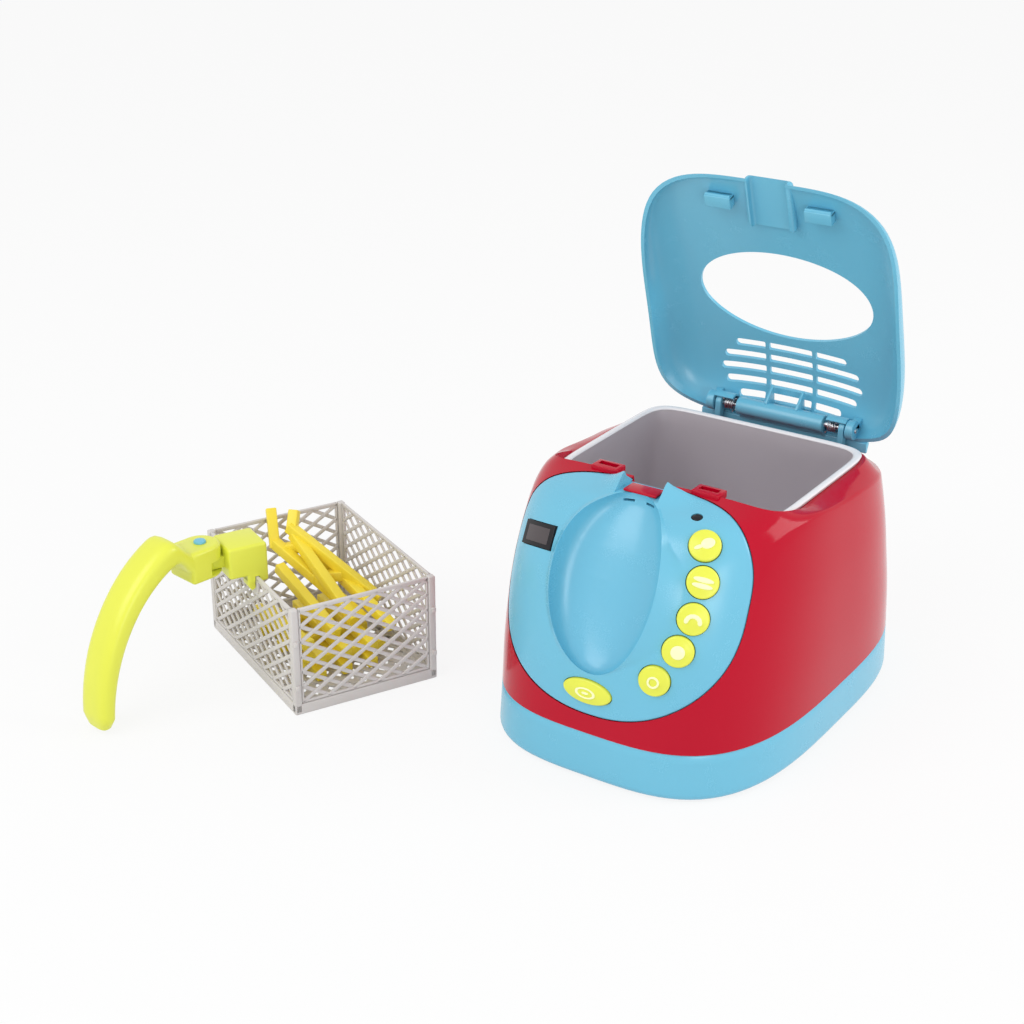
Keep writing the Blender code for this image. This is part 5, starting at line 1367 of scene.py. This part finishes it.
class TOYFRYER_OT_fries(FryerStep):
    """Make the moulded fries: crossed layers on the basket's floor and a leaning bunch on top"""
    bl_idname = "toyfryer.fries"
    bl_label = "Fries"

    upper = (
        ((-0.055, -0.005, 0.072), (-0.0445, -0.008, 0.051)),
        ((-0.0450, -0.008, 0.0545), (0.014, 0.021, 0.0225)),
        ((-0.0455, 0.006, 0.072), (-0.040, 0.001, 0.060)),
        ((-0.0415, 0.000, 0.0645), (0.006, 0.035, 0.029)),
        ((-0.0400, 0.002, 0.0600), (0.020, 0.012, 0.027)),
        ((-0.0360, 0.006, 0.0540), (-0.004, 0.034, 0.024)),
        ((-0.0430, -0.007, 0.0500), (-0.034, 0.008, 0.0540)),
        ((-0.0180, 0.003, 0.0400), (-0.012, 0.026, 0.0400)),
        ((-0.0300, -0.012, 0.0460), (0.026, -0.002, 0.0250)),
        ((-0.0260, 0.020, 0.0400), (0.034, 0.029, 0.0250)),
        ((-0.0220, -0.030, 0.0270), (0.034, -0.022, 0.0265)),
    )

    def make(self, sizes):
        half = sizes.fry_half
        height, lowest = 2.0 * half - 0.0006, 0.0021
        sticks = []
        for layer in range(3):
            z = lowest + half + layer * height
            for k in (-1.0, 0.0, 1.0):
                if layer % 2 == 0:
                    sticks.append(((-0.035, k * 0.016, z), (0.035, k * 0.016, z)))
                else:
                    sticks.append(((k * 0.024, -0.028, z), (k * 0.024, 0.028, z)))
        low = join([self.stick(*ends, half) for ends in sticks], "fries_crossed")
        dress(move(low, basket_turn), "fries", "fries", ("fries_lying",))
        top = lowest + 2.0 * height + 2.0 * half
        high = join([self.stick(*ends, half) for ends in self.upper], "fries_bunch")
        least = min(vert.co.z for vert in high.data.vertices)
        move(high, Matrix.Translation((0.0, 0.0, top + seat_gap - least)))
        dress(move(high, basket_turn), "fries", "fries", ("fries_leaning",))

    def stick(self, start, end, half):
        start, end = Vector(start), Vector(end)
        piece = centred("stick", half, half, 0.0, (end - start).length)
        rounded(piece, half * 0.22, 3)
        turn = (end - start).to_track_quat("Z", "Y")
        return move(piece, Matrix.LocRotScale(start, turn, None))


class TOYFRYER_OT_insides(FryerStep):
    """Give the parts inside the housing, which stay as the frame has them, their finishes"""
    bl_idname = "toyfryer.insides"
    bl_label = "Inside Parts"

    def make(self, sizes):
        kept = {"battery_tray": "rubber", "speaker": "rubber", "circuit_board": "board", "battery_cover": "blue"}
        kept.update({"battery_cell_%d" % i: "jacket" for i in (1, 2, 3)})
        for node, finish in kept.items():
            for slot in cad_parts[node].material_slots:
                slot.material = finishes[finish]


class TOYFRYER_OT_stage(FryerStep):
    """Set the camera, the lamps, the light from all round and the white table"""
    bl_idname = "toyfryer.stage"
    bl_label = "Stage"

    def execute(self, context):
        stage = context.scene.toy_fryer_stage
        self.camera(context, stage.lens)
        for name, place, aim, size, power in lamps:
            self.lamp(name, place, aim, size, getattr(stage, power))
        self.world(context, stage.sky)
        self.table()
        return {"FINISHED"}

    def camera(self, context, lens):
        data = bpy.data.cameras.new("view")
        data.lens = lens
        data.sensor_width = sensor_width
        data.clip_start = 0.01
        context.scene.camera = self.aimed("view", data, camera_place, camera_aim)

    def aimed(self, name, data, place, aim):
        made = add(name, data)
        made.location = place
        made.rotation_euler = (Vector(aim) - made.location).to_track_quat("-Z", "Y").to_euler()
        return made

    def lamp(self, name, place, aim, size, power):
        data = bpy.data.lights.new(name, "AREA")
        data.shape = "SQUARE"
        data.size = size
        data.energy = power
        self.aimed(name, data, place, aim)

    def world(self, context, strength):
        world = bpy.data.worlds.new("studio")
        world.use_nodes = True
        tree = world.node_tree
        light = tree.nodes["Background"]
        light.inputs["Strength"].default_value = strength
        light.inputs["Color"].default_value = white
        shown = tree.nodes.new("ShaderNodeBackground")
        mix = tree.nodes.new("ShaderNodeMixShader")
        tree.links.new(seen_rays(tree).socket, mix.inputs["Fac"])
        tree.links.new(light.outputs[0], mix.inputs[1])
        tree.links.new(shown.outputs[0], mix.inputs[2])
        tree.links.new(mix.outputs[0], tree.nodes["World Output"].inputs["Surface"])
        shown.inputs["Color"].default_value = white
        context.scene.world = world

    def table(self):
        bpy.ops.object.select_all(action="DESELECT")
        bpy.ops.mesh.primitive_plane_add(size=table_width, location=(0.0, 0.0, -foot_standout))
        table = settle(bpy.context.object)
        table.name = "table"
        finish = Finish("table_white", Roughness=0.9, Specular_IOR_Level=0.0)
        speck = finish.noise(40.0, 2.0)
        finish.link("Base Color", finish.tone(speck, (0.79, 0.79, 0.79), (0.81, 0.81, 0.81)))
        glow = finish.node("ShaderNodeEmission", None, {"Color": white, "Strength": 1.0})
        mix = finish.node("ShaderNodeMixShader", None, {"Fac": seen_rays(finish.tree) * floor_glow})
        finish.tree.links.new(finish.shader.outputs[0], mix.inputs[1])
        finish.tree.links.new(glow.outputs[0], mix.inputs[2])
        output = finish.tree.nodes["Material Output"]
        finish.tree.links.new(mix.outputs[0], output.inputs["Surface"])
        table.data.materials.append(finish.material)


steps = (TOYFRYER_OT_stage, TOYFRYER_OT_housing, TOYFRYER_OT_base, TOYFRYER_OT_tub, TOYFRYER_OT_panel,
         TOYFRYER_OT_buttons, TOYFRYER_OT_lid, TOYFRYER_OT_hinge, TOYFRYER_OT_insides, TOYFRYER_OT_basket,
         TOYFRYER_OT_handle, TOYFRYER_OT_fries)


class TOYFRYER_PT_sidebar(bpy.types.Panel):
    bl_idname = "TOYFRYER_PT_sidebar"
    bl_label = "Toy Fryer"
    bl_space_type = "VIEW_3D"
    bl_region_type = "UI"
    bl_category = "Toy Fryer"

    def draw(self, context):
        column = self.layout.column()
        for group in (context.scene.toy_fryer_colours, context.scene.toy_fryer_sizes, context.scene.toy_fryer_stage):
            for name in group.__annotations__:
                column.prop(group, name)
        for step in steps:
            column.operator(step.bl_idname)


groups = (ToyFryerColours, ToyFryerSizes, ToyFryerStage)


def register():
    for item in groups + steps + (TOYFRYER_PT_sidebar,):
        bpy.utils.register_class(item)
    bpy.types.Scene.toy_fryer_colours = bpy.props.PointerProperty(type=ToyFryerColours)
    bpy.types.Scene.toy_fryer_sizes = bpy.props.PointerProperty(type=ToyFryerSizes)
    bpy.types.Scene.toy_fryer_stage = bpy.props.PointerProperty(type=ToyFryerStage)


def unregister():
    del bpy.types.Scene.toy_fryer_stage
    del bpy.types.Scene.toy_fryer_sizes
    del bpy.types.Scene.toy_fryer_colours
    for item in reversed(groups + steps + (TOYFRYER_PT_sidebar,)):
        bpy.utils.unregister_class(item)


def main():
    register()
    scene = bpy.context.scene
    scene.view_settings.view_transform = "Standard"
    make_finishes(scene.toy_fryer_colours)
    for step in steps:
        module, name = step.bl_idname.split(".")
        getattr(getattr(bpy.ops, module), name)()


if __name__ == "__main__":
    main()
